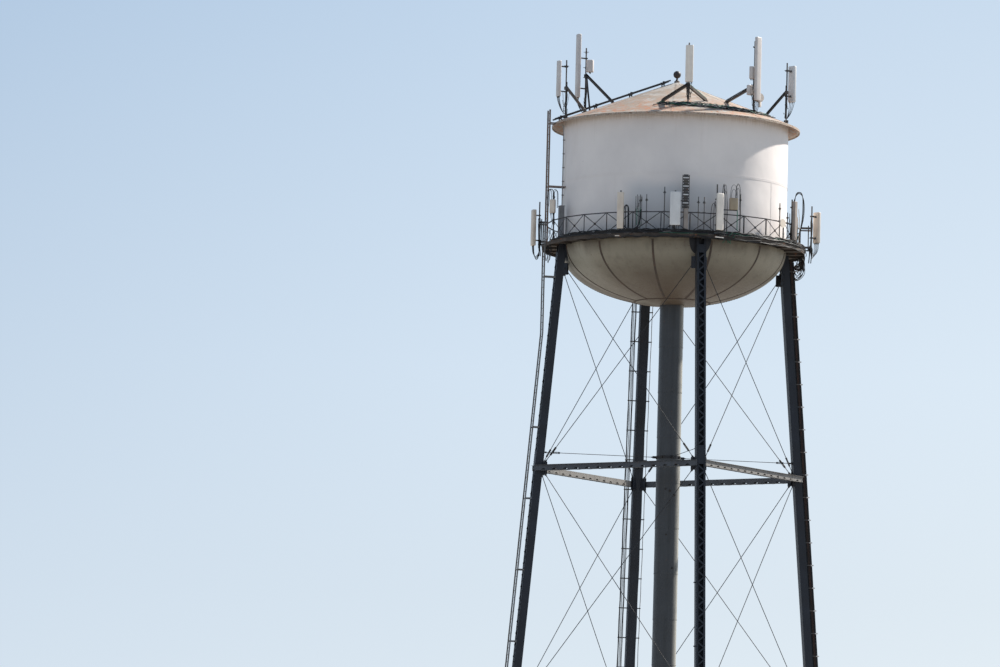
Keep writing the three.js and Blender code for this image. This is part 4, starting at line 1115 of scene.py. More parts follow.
for side, ((run_out, radius, clamp_pitch, half_deep), lanes) in cable_runs.items():
    angle = sides[side]
    by_colour = {}
    for sideways, farther, colour_name in lanes:
        sway = 0.006 * np.sin(run_levels * chance.uniform(1.5, 4.5) + chance.uniform(0, 6))
        path = on_leg(run_out + farther + 0.5 * sway, sideways + sway, run_levels, angle)
        by_colour.setdefault(colour_name, []).append(path)
    for colour_name, paths in by_colour.items():
        stands_for = [f"cable_run_{side}"] if colour_name == "black" else []
        piece(f"cables_up_{side}_leg_{colour_name}", [hoses(paths, radius, 8)], loose_paint[colour_name],
              stands_for, smooth_below=60)
    spread = [lane[0] for lane in lanes]
    low_lane, high_lane = min(spread) - 0.025, max(spread) + 0.025
    clamp_levels = np.arange(run_low + 0.896, run_high - 0.1, clamp_pitch)
    tied = np.any([(clamp_levels > low - 0.04) & (clamp_levels < high + 0.04)
                   for low, high in tie_plate_spans], axis=0)
    seat_out = leg_depth / 2 + np.where(tied, 0.0115, 0.0005) + 0.002
    clamp_parts = []
    for clamp_out in (run_out - half_deep - 0.008, run_out + half_deep + 0.008):
        clamp_parts.append(bars(on_leg(clamp_out, low_lane, clamp_levels, angle),
                                on_leg(clamp_out, high_lane, clamp_levels, angle), upwards,
                                box_outline(0.014, 0.042)))
    arm_parts = []
    for arm in ((low_lane + 0.006, high_lane - 0.006) if side == "right" else (-0.14, 0.14)):
        arm_parts.append(bars(on_leg(seat_out, arm, clamp_levels, angle),
                                on_leg(run_out + half_deep + 0.03, arm, clamp_levels, angle), upwards,
                                box_outline(0.012, 0.036)))
    if side == "right":
        for arm in (low_lane, high_lane):
            clamp_parts.append(bars(on_leg(run_out + 0.055, arm, clamp_levels, angle),
                                    on_leg(run_out + half_deep + 0.045, arm, clamp_levels, angle), upwards,
                                    box_outline(0.022, 0.05)))
    piece(f"cable_clamp_arms_{side}", arm_parts, mount_paint)
    clamp_finish = clamp_metal if side == "right" else mount_paint
    piece(f"cable_clamps_{side}", clamp_parts, clamp_finish)

over_rim = []
for number in range(13):
    lean_of, drop = chance.uniform(-1, 1), chance.uniform(0, 1)
    start = sides["right"] + 0.022 * chance.uniform(-1, 1)
    spin = start + lean_of * np.array([0, 0, 0.035, 0.06, 0.08, 0.11, 0.17, 0.26])
    radius = np.array([5.36, 5.42, 5.50, 5.70 + 0.04 * drop, 5.77 + 0.05 * drop, 5.69, 5.60, 5.58])
    level = np.array([28.6, 29.1, 29.32 - 0.3 * drop, 29.30 - 0.25 * drop, 29.55, 29.75, 29.72, 29.70])
    over_rim.append(polar(radius, spin, level + 0.03 * chance.uniform(-1, 1)))
over_rim = through(over_rim, 34)
piece("cables_over_rim_black", [hoses(over_rim[:7], 0.018)], cable_black, smooth_below=60)
piece("cables_over_rim_brown", [hoses(over_rim[7:], 0.019)], cable_brown, smooth_below=60)

hung_loops = []
for number in range(9):
    spin, share = chance.uniform(-0.07, 0.07), chance.uniform(0, 1)
    hung_loops.append(polar([5.60, 5.74 + 0.12 * share, 5.72 + 0.20 * share, 5.52, 5.33],
                            spin + 0.02 * share,
                            [29.56, 29.42, 29.10 - 0.3 * share, 28.80 - 0.3 * share, 28.95]))
for middle_spin, count, reach in ((0.0, 3, 0.075), (np.pi, 6, 0.06)):
    for number in range(count):
        spin = middle_spin + reach * chance.uniform(-1, 1)
        wide, drop = chance.uniform(0.015, 0.05), chance.uniform(0.25, 0.75)
        out = chance.uniform(5.45, 5.72)
        hung_loops.append(polar([5.60, out, out + 0.02, out, 5.60],
                                spin + wide * np.array([-1, -1.1, 0, 1.1, 1]),
                                [29.58, 29.5 - 0.4 * drop, 29.5 - drop, 29.5 - 0.4 * drop, 29.58]))
piece("cable_loops_under_balcony", [hoses(through(hung_loops, 22), 0.013)], cable_black,
      smooth_below=60)

edge_cables = {"black": [], "brown": [], "grey": [], "green": []}
edge_plan = [
    ("black", -3.0, -0.02, 0.028, 5.66, 29.685),
    *[("black", -2.95 + 0.04 * step, -0.05 - 0.03 * step, 0.024, 5.62 + 0.022 * (step % 5),
       29.675 + 0.035 * (step % 4)) for step in range(9)],
    *[("brown", -1.25 + 0.12 * step, 0.02, 0.019, 5.61 + 0.03 * (step % 3), 29.70 + 0.02 * (step % 2))
      for step in range(4)],
    ("grey", -2.4, -1.1, 0.010, 5.66, 29.70), ("grey", -1.5, -0.3, 0.010, 5.69, 29.69),
    ("green", -1.92, -1.55, 0.011, 5.70, 29.66), ("green", -1.35, -0.75, 0.011, 5.68, 29.71),
    ("black", 0.05, 1.5, 0.020, 5.61, 29.675), ("black", 0.08, 1.45, 0.018, 5.65, 29.67),
    *[("black", -2.5 + 0.3 * step, -1.7 + 0.3 * step, 0.015, 5.735, 29.47 + 0.02 * (step % 3))
      for step in range(6)],
    *[(("brown", "black", "brown", "brown")[step % 4], -1.05 + 0.035 * step, 0.12 - 0.02 * (step % 5),
       0.016, 5.56 + 0.035 * (step % 5), 29.69 + 0.03 * (step % 6)) for step in range(16)]]
for colour_name, first, last, radius, out, level in edge_plan:
    spin = np.linspace(first, last, 60)
    wave = np.sin(spin * chance.uniform(8, 17) + chance.uniform(0, 6))
    path = polar(out + 0.025 * wave, spin,
                 level + chance.uniform(0.01, 0.08) * np.sin(spin * chance.uniform(9, 26)) ** 2)
    edge_cables[colour_name].append(hoses([path], radius))
for colour_name, parts in edge_cables.items():
    piece(f"cables_round_balcony_{colour_name}", parts, loose_paint[colour_name],
          smooth_below=60)


# Antennas on the roof. Each is a long plastic cover on a pipe mast, held by two hinged brackets, with
# short jumper cables from the plugs under it. The masts stand on plates and are braced back to the roof
# with angles; one carries two boxes and a small dish besides.
# The shaded cover colour is painted shade: a dark grey-brown for covers that stand in shade.
cover_colours = {"grey": ((0.62, 0.575, 0.55), (0.54, 0.49, 0.465)),
                 "tan": ((0.69, 0.60, 0.505), (0.585, 0.49, 0.405)),
                 "cream": ((0.83, 0.755, 0.675), (0.71, 0.635, 0.56)),
                 "white": ((0.67, 0.66, 0.655), (0.585, 0.575, 0.57)),
                 "shaded": ((0.29, 0.25, 0.225), (0.23, 0.19, 0.165)),
                 "olive": ((0.37, 0.30, 0.205), (0.28, 0.215, 0.145))}
covers = {name: weathered(f"antenna_cover_{name}", first, second, patch=2.0, rust=(0.30, 0.20, 0.13),
                          rust_share=0.06, streaks=0.12, roughness=0.45)
          for name, (first, second) in cover_colours.items()}
mast_radius = 0.03


def soft_outline(width, depth, count=20, squareness=0.4):
    """A rectangle with rounded corners: each coordinate is half its size times the cosine or sine of
    the angle, raised to a small power."""
    angle = (np.arange(count) + 0.5) * 2 * np.pi / count
    cosine, sine = np.cos(angle), np.sin(angle)
    return np.stack([width / 2 * np.sign(cosine) * np.abs(cosine) ** squareness,
                     depth / 2 * np.sign(sine) * np.abs(sine) ** squareness], 1)


def standing(station, points):
    """Points of a station's own frame, x away from the tower, y to its left and z up, in the tower's.
    A station is the angle of its frame, how far out and sideways it stands, and how far its fittings
    are turned about it."""
    spin, out, sideways, aside = station
    return turned_about(turned_about(points, aside) + [out, sideways, 0], spin)


def towards(station, direction):
    """A direction of a station's own frame in the tower's."""
    return turned_about(direction, station[0] + station[3])


def faced(station, degrees):
    """The same station with its fittings turned about its mast."""
    return (*station[:3], np.radians(degrees))


def shifted(station, sideways):
    """A station farther sideways, whose fittings aren't turned."""
    return (*station[:2], station[2] + sideways, 0.0)


def bar_at(station, start, end, outline):
    """A bar between two points of a station's frame. The outline's y lies upwards, or in a bar that
    stands upright along the frame's x."""
    first, last = standing(station, [start, end])
    upright = np.allclose(np.subtract(start, end)[:2], 0)
    return bars(first, last, towards(station, [1, 0, 0]) if upright else upwards, outline)


def cover(station, width, depth, low, high, x, y=0.0, rounding=0.4):
    """A plastic cover: a rounded outline carried upwards that narrows a little at each end."""
    levels = np.array([low, low + 0.012, low + 0.03, high - 0.03, high - 0.012, high])
    narrowing = np.array([0.86, 0.97, 1, 1, 0.97, 0.86])
    path = np.stack([0 * levels + x, 0 * levels + y, levels], 1)
    return carried(standing(station, path), towards(station, [1, 0, 0]),
                   soft_outline(width, depth, 20, rounding), narrowing)


def dish(station, start, depth, level, radius):
    """A round dish: with t from 0 to 1, it runs from start outwards by depth times t squared, and is
    0.35 + 0.65 times the square root of t as wide as its rim."""
    t = np.linspace(0, 1, 9)
    path = standing(station, np.stack([start + depth * t ** 2, 0 * t, level + 0 * t], 1))
    return carried(path, upwards, round_outline(radius, 24), 0.35 + 0.65 * np.sqrt(t))


def plugs(station, width, low, x, count, y=0.0):
    """The round plugs under a cover, in one row, and where their cables start."""
    across = y + np.linspace(-0.36, 0.36, count) * width
    tops = standing(station, np.stack([0 * across + x, across, 0 * across + low], 1))
    return studs(tops, -upwards, [(0.02, -0.003, 0.035, 8), (0.015, 0.035, 0.07, 8)]), tops - 0.07 * upwards


def slack(starts, ends, drop, count=16, fullness=0.65):
    """Cables between pairs of points: the straight way, sunk by drop times a power of sin(pi t) that is
    below one, so that the cable leaves its ends steeply."""
    t = np.linspace(0, 1, count)[None, :, None]
    starts, ends = np.broadcast_arrays(np.asarray(starts, float), np.asarray(ends, float))
    starts, ends = starts.reshape(-1, 1, 3), ends.reshape(-1, 1, 3)
    drop = np.broadcast_to(np.asarray(drop, float), (len(starts),)).reshape(-1, 1, 1)
    sunk = np.clip(np.sin(np.pi * t), 0, 1) ** fullness
    return starts * (1 - t) + ends * t - drop * sunk * upwards


def bracket(station, level, reach, width=0.10):
    """A hinged bracket from the mast to the back of a cover: a clamp of two plates with a pair of bolts,
    two side bars, and a plate on the cover."""
    made = []
    for side_of in (-1, 1):
        clamp_x, bolt_y = side_of * (mast_radius + 0.006), side_of * 0.055
        made.append(bar_at(station, [clamp_x, -0.075, level], [clamp_x, 0.075, level],
                           box_outline(0.01, 0.06)))
        made.append(bar_at(station, [-0.06, bolt_y, level], [0.06, bolt_y, level],
                           round_outline(0.008, 6)))
        made.append(bar_at(station, [mast_radius, 0.7 * bolt_y, level],
                           [mast_radius + reach, 0.7 * bolt_y, level], box_outline(0.008, 0.045)))
    plate_x = mast_radius + reach - 0.008
    made.append(bar_at(station, [plate_x, 0, level - 0.045], [plate_x, 0, level + 0.045],
                       box_outline(width, 0.012)))
    return made


def cross_pins(station, level, half=0.12):
    """A pair of thin bars clamped across a mast."""
    made = []
    for shift, direction in ((0.0, [0, 1, 0]), (0.03, [1, 0, 0])):
        reach = np.array(direction) * half
        made.append(bar_at(station, [0, 0, level + shift] - reach, [0, 0, level + shift] + reach,
                           round_outline(0.012, 6)))
    made.append(bar_at(station, [0, 0, level - 0.03], [0, 0, level + 0.06],
                       round_outline(mast_radius + 0.012, 8)))
    return made


def radio(station, depth, width, low, high, x, y):
    """A radio box: a rounded body with upright cooling fins on the side away from the mast's."""
    body = cover(station, width, depth * 0.8, low, high, x - 0.1 * depth, y, 0.25)
    across = y + np.linspace(-0.42, 0.42, 9) * width
    foot = standing(station, np.stack([0 * across + x + 0.35 * depth, across, 0 * across + low + 0.02], 1))
    fins = bars(foot, foot + (high - low - 0.04) * upwards, towards(station, [1, 0, 0]),
                box_outline(0.006, 0.28 * depth))
    return [body, fins]


roof_masts = {
    "left": dict(angle=-173.5, radius=5.09, top=37.58, panel=(0.27, 0.12, 35.97, 37.52, 0.28), aside=10,
                 colour="grey", braces=[(36.37, -0.82, 0.23)], pins=(37.3,), boxes=[]),
    "back_left": dict(angle=156.5, radius=4.04, top=38.51, panel=(0.30, 0.16, 36.30, 39.09, 0.26), aside=35,
                      colour="grey", braces=[(37.29, -1.37, 0.5), (37.29, -0.4, 0.9)],
                      pins=(38.3, 37.62, 37.18), upper=38.05,
                      boxes=[("grey", 0.31, 0.30, 37.45, 37.98, -0.18, 0.0)]),
    "front": dict(angle=-96.7, radius=4.10, top=38.09, panel=(0.33, 0.14, 36.37, 37.96, 0.09), aside=0,
                  colour="cream", braces=[(36.3, -0.61, -1.05), (36.25, -0.99, 0.9)], pins=(35.77,),
                  boxes=[]),
    "right": dict(angle=-56.5, radius=4.53, top=38.38, panel=(0.33, 0.14, 35.78, 38.53, 0.09), aside=0,
                  colour="grey", braces=[(36.42, -1.45, -0.17)], pins=(),
                  boxes=[("tan", 0.16, 0.24, 36.72, 37.255, 0.0, -0.15),
                         ("radio", 0.2, 0.3, 36.02, 36.45, -0.06, -0.17)]),
    "far_right": dict(angle=-31, radius=4.97, top=37.705, panel=(0.40, 0.15, 36.03, 37.60, 0.21), aside=60,
                      colour="white", braces=[(36.42, -0.77, -0.42)], pins=(37.35,), boxes=[]),
}
roof_brace_paint = weathered("roof_brace_paint", (0.135, 0.112, 0.096), (0.080, 0.068, 0.062), patch=3.0,
                             rust=(0.21, 0.095, 0.05), rust_share=0.4, streaks=0.3, roughness=0.7)
roof_jumpers, brace_parts, roof_tangle = [], [], {"black": [], "green": [], "grey": []}
for name, plan in roof_masts.items():
    station = (np.radians(plan["angle"]), plan["radius"], 0.0, 0.0)
    hung = faced(station, plan["aside"])
    width, depth, low, high, gap = plan["panel"]
    middle = mast_radius + gap + depth / 2
    panel_parts = [cover(hung, width, depth, low, high, middle)]
    plug_parts, cable_starts = plugs(hung, width, low, middle, 4)
    foot = roof_level(plan["radius"])
    mount_parts = [bar_at(station, [0, 0, foot - 0.01], [0, 0, plan["top"]],
                          round_outline(mast_radius, 12))]
    plate = standing(station, [0, 0, foot + 0.003]) + np.array([[0.0], [0.014]]) * towards(
        station, slope_square)
    mount_parts.append(bars(*plate, towards(station, [0, 1, 0]), box_outline(0.25, 0.25)))
    for turn_of in (0, np.pi / 2):
        fin = np.array([np.cos(turn_of), np.sin(turn_of), 0]) * 0.1
        mount_parts.append(bar_at(station, [0, 0, foot + 0.07] - fin, [0, 0, foot + 0.07] + fin,
                                  box_outline(0.012, 0.12)))
    for level in (low + 0.15 * (high - low), plan.get("upper", high - 0.15 * (high - low))):
        mount_parts += bracket(hung, level, gap)
    for level in plan["pins"]:
        mount_parts += cross_pins(station, level)
    for level, out, sideways in plan["braces"]:
        ground = roof_level(np.hypot(plan["radius"] + out, sideways))
        ends = standing(station, [[0.04 * np.sign(out), 0, level], [out, sideways, ground + 0.02]])
        thick = 1.9 if name == "back_left" else 2.5
        (mount_parts if name == "back_left" else brace_parts).append(
            bars(*ends, upwards, thick * angle_outline))
        for lift in (0.05, 0.085):
            jumper = through([ends[0] + lift * upwards, (ends[0] + ends[1]) / 2 + (lift + 0.01) * upwards,
                              ends[1] + (lift + 0.01) * upwards], 8)
            if name == "front" and sideways > 0 and lift > 0.06:
                roof_tangle["green"].append(hoses(jumper, 0.026, 6))
            else:
                roof_jumpers.append(hoses(jumper, 0.014, 6))
        mount_parts.append(bar_at(station, [out, sideways, ground - 0.01],
                                  [out, sideways, ground + 0.012], box_outline(0.17, 0.17)))
        mount_parts.append(bar_at(station, [0, -0.07, level - 0.01], [0, 0.07, level - 0.01],
                                  box_outline(0.13, 0.13)))
        mount_parts.append(bar_at(station, [out, sideways, ground + 0.005],
                                  [out, sideways, ground + 0.09], box_outline(0.06, 0.10)))
    for kind, box_depth, box_width, box_low, box_high, x, y in plan["boxes"]:
        if kind == "radio":
            panel_parts += radio(station, box_depth, box_width, box_low, box_high, x, y)
        else:
            panel_parts.append(cover(station, box_width, box_depth, box_low, box_high, x, y))
            spare, _ = plugs(station, box_width, box_low, x, 3, y)
            mount_parts += spare
    piece(f"antenna_cover_roof_{name}", panel_parts, covers[plan["colour"]],
          smooth_below=50)
    piece(f"antenna_mount_roof_{name}", mount_parts + plug_parts, mount_paint,
          [f"antenna_roof_{name}"], smooth_below=40)
    gather = standing(station, [[-mast_radius - 0.012, 0.01 * step, foot + 0.25 + 0.05 * step]
                                for step in range(4)])
    roof_jumpers.append(hoses(slack(cable_starts, gather, 0.22 + 0.05 * np.arange(4)), 0.011, 6))
    clip = standing(station, [[-mast_radius - 0.014, -0.02 + 0.02 * step, foot + 0.2] for step in range(3)])
    top_of_run = clip + [0, 0, 0.55 * (plan["top"] - foot)]
    roof_jumpers.append(bars(clip, top_of_run, towards(station, [1, 0, 0]), round_outline(0.01, 6)))
    thrown = np.stack([chance.uniform(-0.1, 0.1, 9), chance.uniform(-0.24, 0.24, 9),
                       foot + chance.uniform(0.4, 1.3, 9)], 1)
    landed = np.stack([chance.uniform(-0.05, 0.05, 9), chance.uniform(-0.2, 0.2, 9),
                       foot + chance.uniform(0.2, 0.9, 9)], 1)
    roof_jumpers.append(hoses(slack(standing(station, thrown), standing(station, landed),
                                    chance.uniform(0.1, 0.35, 9)), 0.009, 6))
piece("antenna_braces_roof", brace_parts, roof_brace_paint, smooth_below=40)
piece("antenna_jumpers_roof", roof_jumpers, cable_black, smooth_below=60)
dish_mast = roof_masts["right"]
station = (np.radians(dish_mast["angle"]), dish_mast["radius"], 0.0, 0.0)
drop = standing(station, [[-0.02, 0.33, 35.97], [-0.02, 0.36, 35.6]])
piece("roof_dish", [dish(faced(shifted(station, 0.33), -47), 0.0, 0.07, 35.95, 0.21),
                    bar_at(station, [-0.02, 0, 35.95], [-0.02, 0.33, 35.95], box_outline(0.05, 0.05)),
                    bars(*drop, towards(station, [1, 0, 0]), box_outline(0.04, 0.04)),
                    cover(station, 0.12, 0.10, 35.56, 35.78, 0.0, 0.38)], covers["cream"],
      smooth_below=50)


# Cables on the roof. Black and green cables lie in a tangle from the foot of one mast to the next, along
# the front of the roof, where they were dropped.
for number in range(26):
    colour_name = ("black", "green", "black", "black", "grey")[number % 5]
    first, last = chance.uniform(-118, -88), chance.uniform(-66, -37)
    t = np.linspace(0, 1, 60)
    spin = np.radians(first + (last - first) * t)
    wave = np.sin(t * chance.uniform(12, 30) + chance.uniform(0, 6)) + np.sin(t * chance.uniform(20, 60))
    radius = 4.15 + 0.42 * t + chance.uniform(-0.2, 0.2) + 0.06 * wave
    level = roof_level(radius) + 0.03 + 0.06 * np.sin(t * chance.uniform(12, 40)) ** 2
    thick = 0.011 if colour_name == "grey" else 0.017
    roof_tangle[colour_name].append(hoses([polar(radius, spin, level)], thick, 6))
for colour_name, parts in roof_tangle.items():
    piece(f"cables_on_roof_{colour_name}", parts, loose_paint[colour_name], smooth_below=60)


# Antennas on the railing. The same covers, on pipes that are clamped to the two rails. Some pipes also
# carry an arm with a row of thin rods, a rack of short bars or a box, and cables stand up beside them in
# loops and arches.
def rail_station(degrees, standoff):
    """The frame of a mast outside the railing: the angle of its bay's middle, how far out of the tower's
    axis the mast stands, and how far aside of the bay's middle."""
    spin = np.radians(degrees)
    middle = -np.pi / 4 + (np.floor((spin + np.pi / 4) / bay_angle) + 0.5) * bay_angle
    flat = railing_radius * np.cos(bay_angle / 2)
    return middle, flat + 0.016 + standoff, flat * np.tan(spin - middle), 0.0


def rail_post(station, low, top, standoff, radius=mast_radius):
    """A pipe held to the two rails by arms, each with a clamp around the pipe."""
    made = [bar_at(station, [0, 0, low], [0, 0, top], round_outline(radius, 12))]
    for level in (top_rail, low_rail):
        for beside in (-0.035, 0.035):
            made.append(bar_at(station, [0.5 * radius, beside, level], [0.002 - standoff, beside, level],
                               box_outline(0.01, 0.05)))
        for out in (-radius - 0.005, radius + 0.005):
            made.append(bar_at(station, [out, -0.06, level], [out, 0.06, level],
                               box_outline(0.008, 0.055)))
    return made


def rods_at(station, feet, height, radius, count=6):
    """Upright round rods of one height on points of a station's frame."""
    feet = standing(station, feet)
    return bars(feet, feet + [0, 0, height], towards(station, [1, 0, 0]), round_outline(radius, count))


def tall_loops(station, count, low, high, reach, wide, radius=0.012):
    """Cables that rise beside a mast, turn over and come down again, each of a random place, height and
    width."""
    paths = []
    for _ in range(count):
        y, x = reach * chance.uniform(-1, 1), chance.uniform(-0.09, 0.04)
        half, peak = wide * chance.uniform(0.4, 1), high - 0.25 * chance.uniform(0, 1) * (high - low)
        bend = peak - low
        paths.append(standing(station, [[x - 0.03, y - half, low], [x, y - 1.1 * half, low + 0.5 * bend],
                                        [x + 0.02, y - 0.8 * half, peak - 0.12 * bend], [x, y, peak],
                                        [x - 0.02, y + 0.8 * half, peak - 0.12 * bend],
                                        [x, y + 1.1 * half, low + 0.5 * bend],
                                        [x - 0.03, y + half, low - 0.1]]))
    return hoses(through(paths, 24), radius, 6)


rail_masts = {
    "left": dict(angle=169, standoff=0.34, low=29.56, top=31.58, aside=17, colour="tan", hang=0.42,
                 panel=(0.32, 0.175, 29.66, 31.22, 0.14)),
    "front_left": dict(angle=-127.8, standoff=0.06, low=29.651, top=31.52, aside=22, colour="tan",
                       hang=0.18, panel=(0.29, 0.13, 29.865, 31.425, 0.04)),
    "front": dict(angle=-103.1, standoff=0.06, low=29.651, top=31.5, aside=0, colour="white", hang=0.2,
                  panel=(0.455, 0.14, 30.0, 31.43, 0.06)),
    "front_right": dict(angle=-84.4, standoff=0.06, low=29.651, top=31.84, aside=20, colour="cream",
                        hang=0.16, panel=(0.33, 0.14, 29.86, 31.43, 0.136)),
    # This cover takes the shaded colour, which is painted shade.
    "right": dict(angle=-37.6, standoff=0.06, low=29.651, top=31.66, aside=0, colour="shaded", hang=0.2,
                  panel=(0.28, 0.14, 29.89, 31.57, 0.04)),
    "far_right": dict(angle=-15.5, standoff=0.48, low=29.6, top=31.66, aside=40, colour="tan", hang=0.48,
                      panel=(0.37, 0.15, 30.08, 31.42, 0.195)),
}
rail_jumpers, rail_loops, green_loops, pale_loops = [], [], [], []
for name, plan in rail_masts.items():
    station = rail_station(plan["angle"], plan["standoff"])
    hung = faced(station, plan["aside"])
    width, depth, low, high, gap = plan["panel"]
    middle = mast_radius + gap + depth / 2
    panel_parts = [cover(hung, width, depth, low, high, middle)]
    plug_parts, cable_starts = plugs(hung, width, low, middle, 5)
    mount_parts = rail_post(station, plan["low"], plan["top"], plan["standoff"])
    for level in (low + 0.15 * (high - low), high - 0.15 * (high - low)):
        mount_parts += bracket(hung, level, gap, 0.10 if plan["standoff"] > 0.3 else 0.9 * width)
    gather = standing(station, [[-0.04, 0.015 * step - 0.03, low - 0.02 * step] for step in range(5)])
    rail_jumpers.append(hoses(slack(cable_starts, gather, plan["hang"] + 0.03 * np.arange(5), 24, 0.45),
                              0.011, 6))
    rail_loops.append(tall_loops(station, 3, low_rail, low + 0.85 * (high - low), 0.14, 0.12))
    if name == "front_left":
        # Beside it an arm carries five thin rods in sleeves, and three cables sweep up to its end.
        mount_parts.append(bar_at(station, [0, 0, 30.585], [0, 1.0, 30.585], box_outline(0.04, 0.045)))
        feet = [[0.02, 0.72 + 0.07 * step, 29.95 + 0.06 * (step % 2)] for step in range(5)]
        sleeves = [[0.02, 0.72 + 0.07 * step, 30.55 + 0.12 * step] for step in range(5)]
        stems = [[0.03, 0.79 + 0.14 * step, 30.0] for step in range(2)]
        mount_parts += [rods_at(station, feet, 1.3, 0.013), rods_at(station, sleeves, 0.16, 0.024, 8)]
        green_loops.append(rods_at(station, stems, 0.75, 0.018))
        rail_loops.append(tall_loops(rail_station(-124.9, 0.06), 2, 29.9, 31.2, 0.02, 0.11, 0.020))
        sweep = standing(station, [[0.02, 0.03, 30.55], [0.07, 0.18, 29.95], [0.1, 0.45, 29.78],
                                   [0.1, 0.78, 29.84], [0.08, 0.95, 30.15], [0.05, 0.97, 30.6]])
        sweeps = [sweep, sweep + [0.03, 0.02, 0.07], sweep - [0.03, 0.01, 0.08]]
        rail_loops.append(hoses(through(sweeps, 28), 0.02, 6))
    elif name == "front":
        # Beside it a box carries a rack: twelve shelves of short bars between four uprights.
        mount_parts.append(bar_at(station, [0, 0, 31.065], [0, 0.5, 31.065], box_outline(0.04, 0.045)))
        uprights = standing(station, [[x, 0.436 + y, 30.74] for x in (-0.11, 0.11) for y in (-0.14, 0.14)])
        mount_parts.append(bars(uprights, uprights + 1.43 * upwards, towards(station, [1, 0, 0]),
                                box_outline(0.026, 0.026)))
        for index, step in enumerate(np.linspace(30.80, 32.12, 12)):
            for x in (-0.115, 0.115):
                mount_parts.append(bar_at(station, [x, 0.285, step], [x, 0.587, step],
                                          box_outline(0.02, 0.035)))
            shelf = bar_at(station, [-0.10, 0.436, step + 0.04], [0.105, 0.436, step + 0.04],
                           box_outline(0.20, 0.055))
            (panel_parts if index % 3 == 1 else mount_parts).append(shelf)
        # The box under the rack takes the shaded cover colour, which is painted shade.
        piece("railing_rack_foot", [cover(station, 0.19, 0.16, 29.652, 30.75, 0.0, 0.46, 0.2)],
              covers["shaded"], smooth_below=50)
        tails = standing(station, [[0.02 * step - 0.05, 0.36 + 0.03 * step, 30.85] for step in range(5)])
        rail_jumpers.append(hoses(slack(tails, tails - [0, 0, 1.15], 0.0, 6), 0.010, 6))
    elif name == "front_right":
        # Beside it an arm carries a square box, and cables turn over in front of and above it.
        mount_parts.append(bar_at(station, [0, 0, 30.765], [0, 0.9, 30.765], box_outline(0.04, 0.045)))
        olive_box = cover(station, 0.36, 0.16, 30.785, 31.29, 0.0, 0.725, 0.2)
        piece("railing_olive_box", [olive_box], covers["olive"], smooth_below=50)
        green_loops.append(bar_at(station, [0.02, 0.89, 29.9], [0.02, 0.89, 31.3],
                                  round_outline(0.018, 6)))
        rail_loops.append(tall_loops(shifted(station, 0.33), 4, 29.8, 31.9, 0.05, 0.12, 0.010))
        rail_loops.append(tall_loops(shifted(station, 0.84), 5, 30.9, 31.92, 0.12, 0.14, 0.009))
    elif name == "right":
        # Beside it three cables stand up in an arch, and nine more rise from the balcony's edge.
        for shift in (0.0, 0.03, -0.035):
            arch = [[0.05 + shift, 0.1, 29.64], [0.05 + shift, 0.1, 30.52], [0.05 + shift, 0.1, 31.42],
                    [0.13, 0.1, 31.85 + shift], [0.27, 0.1, 31.95 + shift], [0.42, 0.1, 31.85 + shift],
                    [0.49 - shift, 0.1, 31.47], [0.47 - shift, 0.1, 30.82], [0.30, 0.12, 30.12],
                    [0.10, 0.14, 29.64]]
            rail_loops.append(hoses(through(standing(station, arch), 34), 0.014, 6))
        for step in range(9):
            foot_of = np.array([0.015 * step - 0.02, 0.20 + 0.035 * step, 29.66])
            sway = 0.05 * chance.uniform(-1, 1, 4)
            riser_of = [foot_of, foot_of + [sway[0], 0, 0.5], foot_of + [sway[1], 0.03, 1.0],
                        foot_of + [sway[2], 0, 1.2 + 0.5 * chance.uniform(0, 1)]]
            (green_loops if step % 3 == 0 else rail_jumpers if step % 3 == 1 else pale_loops).append(
                hoses(through(standing(station, riser_of), 16), 0.014, 6))
    else:
        # The mast stands well outside the railing: blocks and a second pipe stiffen its arms.
        frame_x = -0.13 if name == "far_right" else -0.1
        for level in (low_rail + 0.13, top_rail + 0.1):
            mount_parts.append(bar_at(station, [0.01 - plan["standoff"], -0.04, level],
                                      [0.03, -0.04, level], box_outline(0.05, 0.085)))
        rail_loops.append(tall_loops(station, 4, 29.3, 29.95, 0.1, 0.2, 0.014))
        mount_parts.append(bar_at(station, [frame_x, 0.1, plan["low"] + 0.1],
                                  [frame_x, 0.1, low_rail + 1.1], round_outline(0.024, 8)))
        for level in (low_rail + 0.06, top_rail - 0.05):
            mount_parts.append(bar_at(station, [frame_x, -0.2, level], [frame_x, 0.2, level],
                                      box_outline(0.04, 0.04)))
    if name in ("front_left", "front_right"):
        # Under the cover a short bar hangs on an arm.
        panel_parts.append(bar_at(hung, [middle, -0.21, low - 0.31], [middle, 0.21, low - 0.31],
                                  box_outline(0.03, 0.045)))
        mount_parts.append(bar_at(hung, [0.04, 0, low - 0.31], [middle, 0, low - 0.31],
                                  box_outline(0.03, 0.03)))
    piece(f"antenna_cover_rail_{name}", panel_parts, covers[plan["colour"]],
          smooth_below=50)
    piece(f"antenna_mount_rail_{name}", mount_parts + plug_parts, mount_paint,
          [f"antenna_rail_{name}"], smooth_below=40)
t = np.linspace(0, 1, 8)
green_paths = [polar(5.66 + 0.05 * np.sin(6 * t + step),
                     np.radians(-82 + 1.25 * step) + 0.02 * np.sin(4 * t + step), 29.33 + 0.5 * t)
               for step in range(5)]
green_loops.append(hoses(through(green_paths, 24), 0.012, 6))
piece("antenna_jumpers_rail", rail_jumpers, cable_black, smooth_below=60)
piece("antenna_cable_loops_rail", rail_loops, cable_black, smooth_below=60)
piece("antenna_cable_loops_green", green_loops, cable_green, smooth_below=60)
piece("antenna_cable_loops_pale", pale_loops, covers["tan"], smooth_below=60)


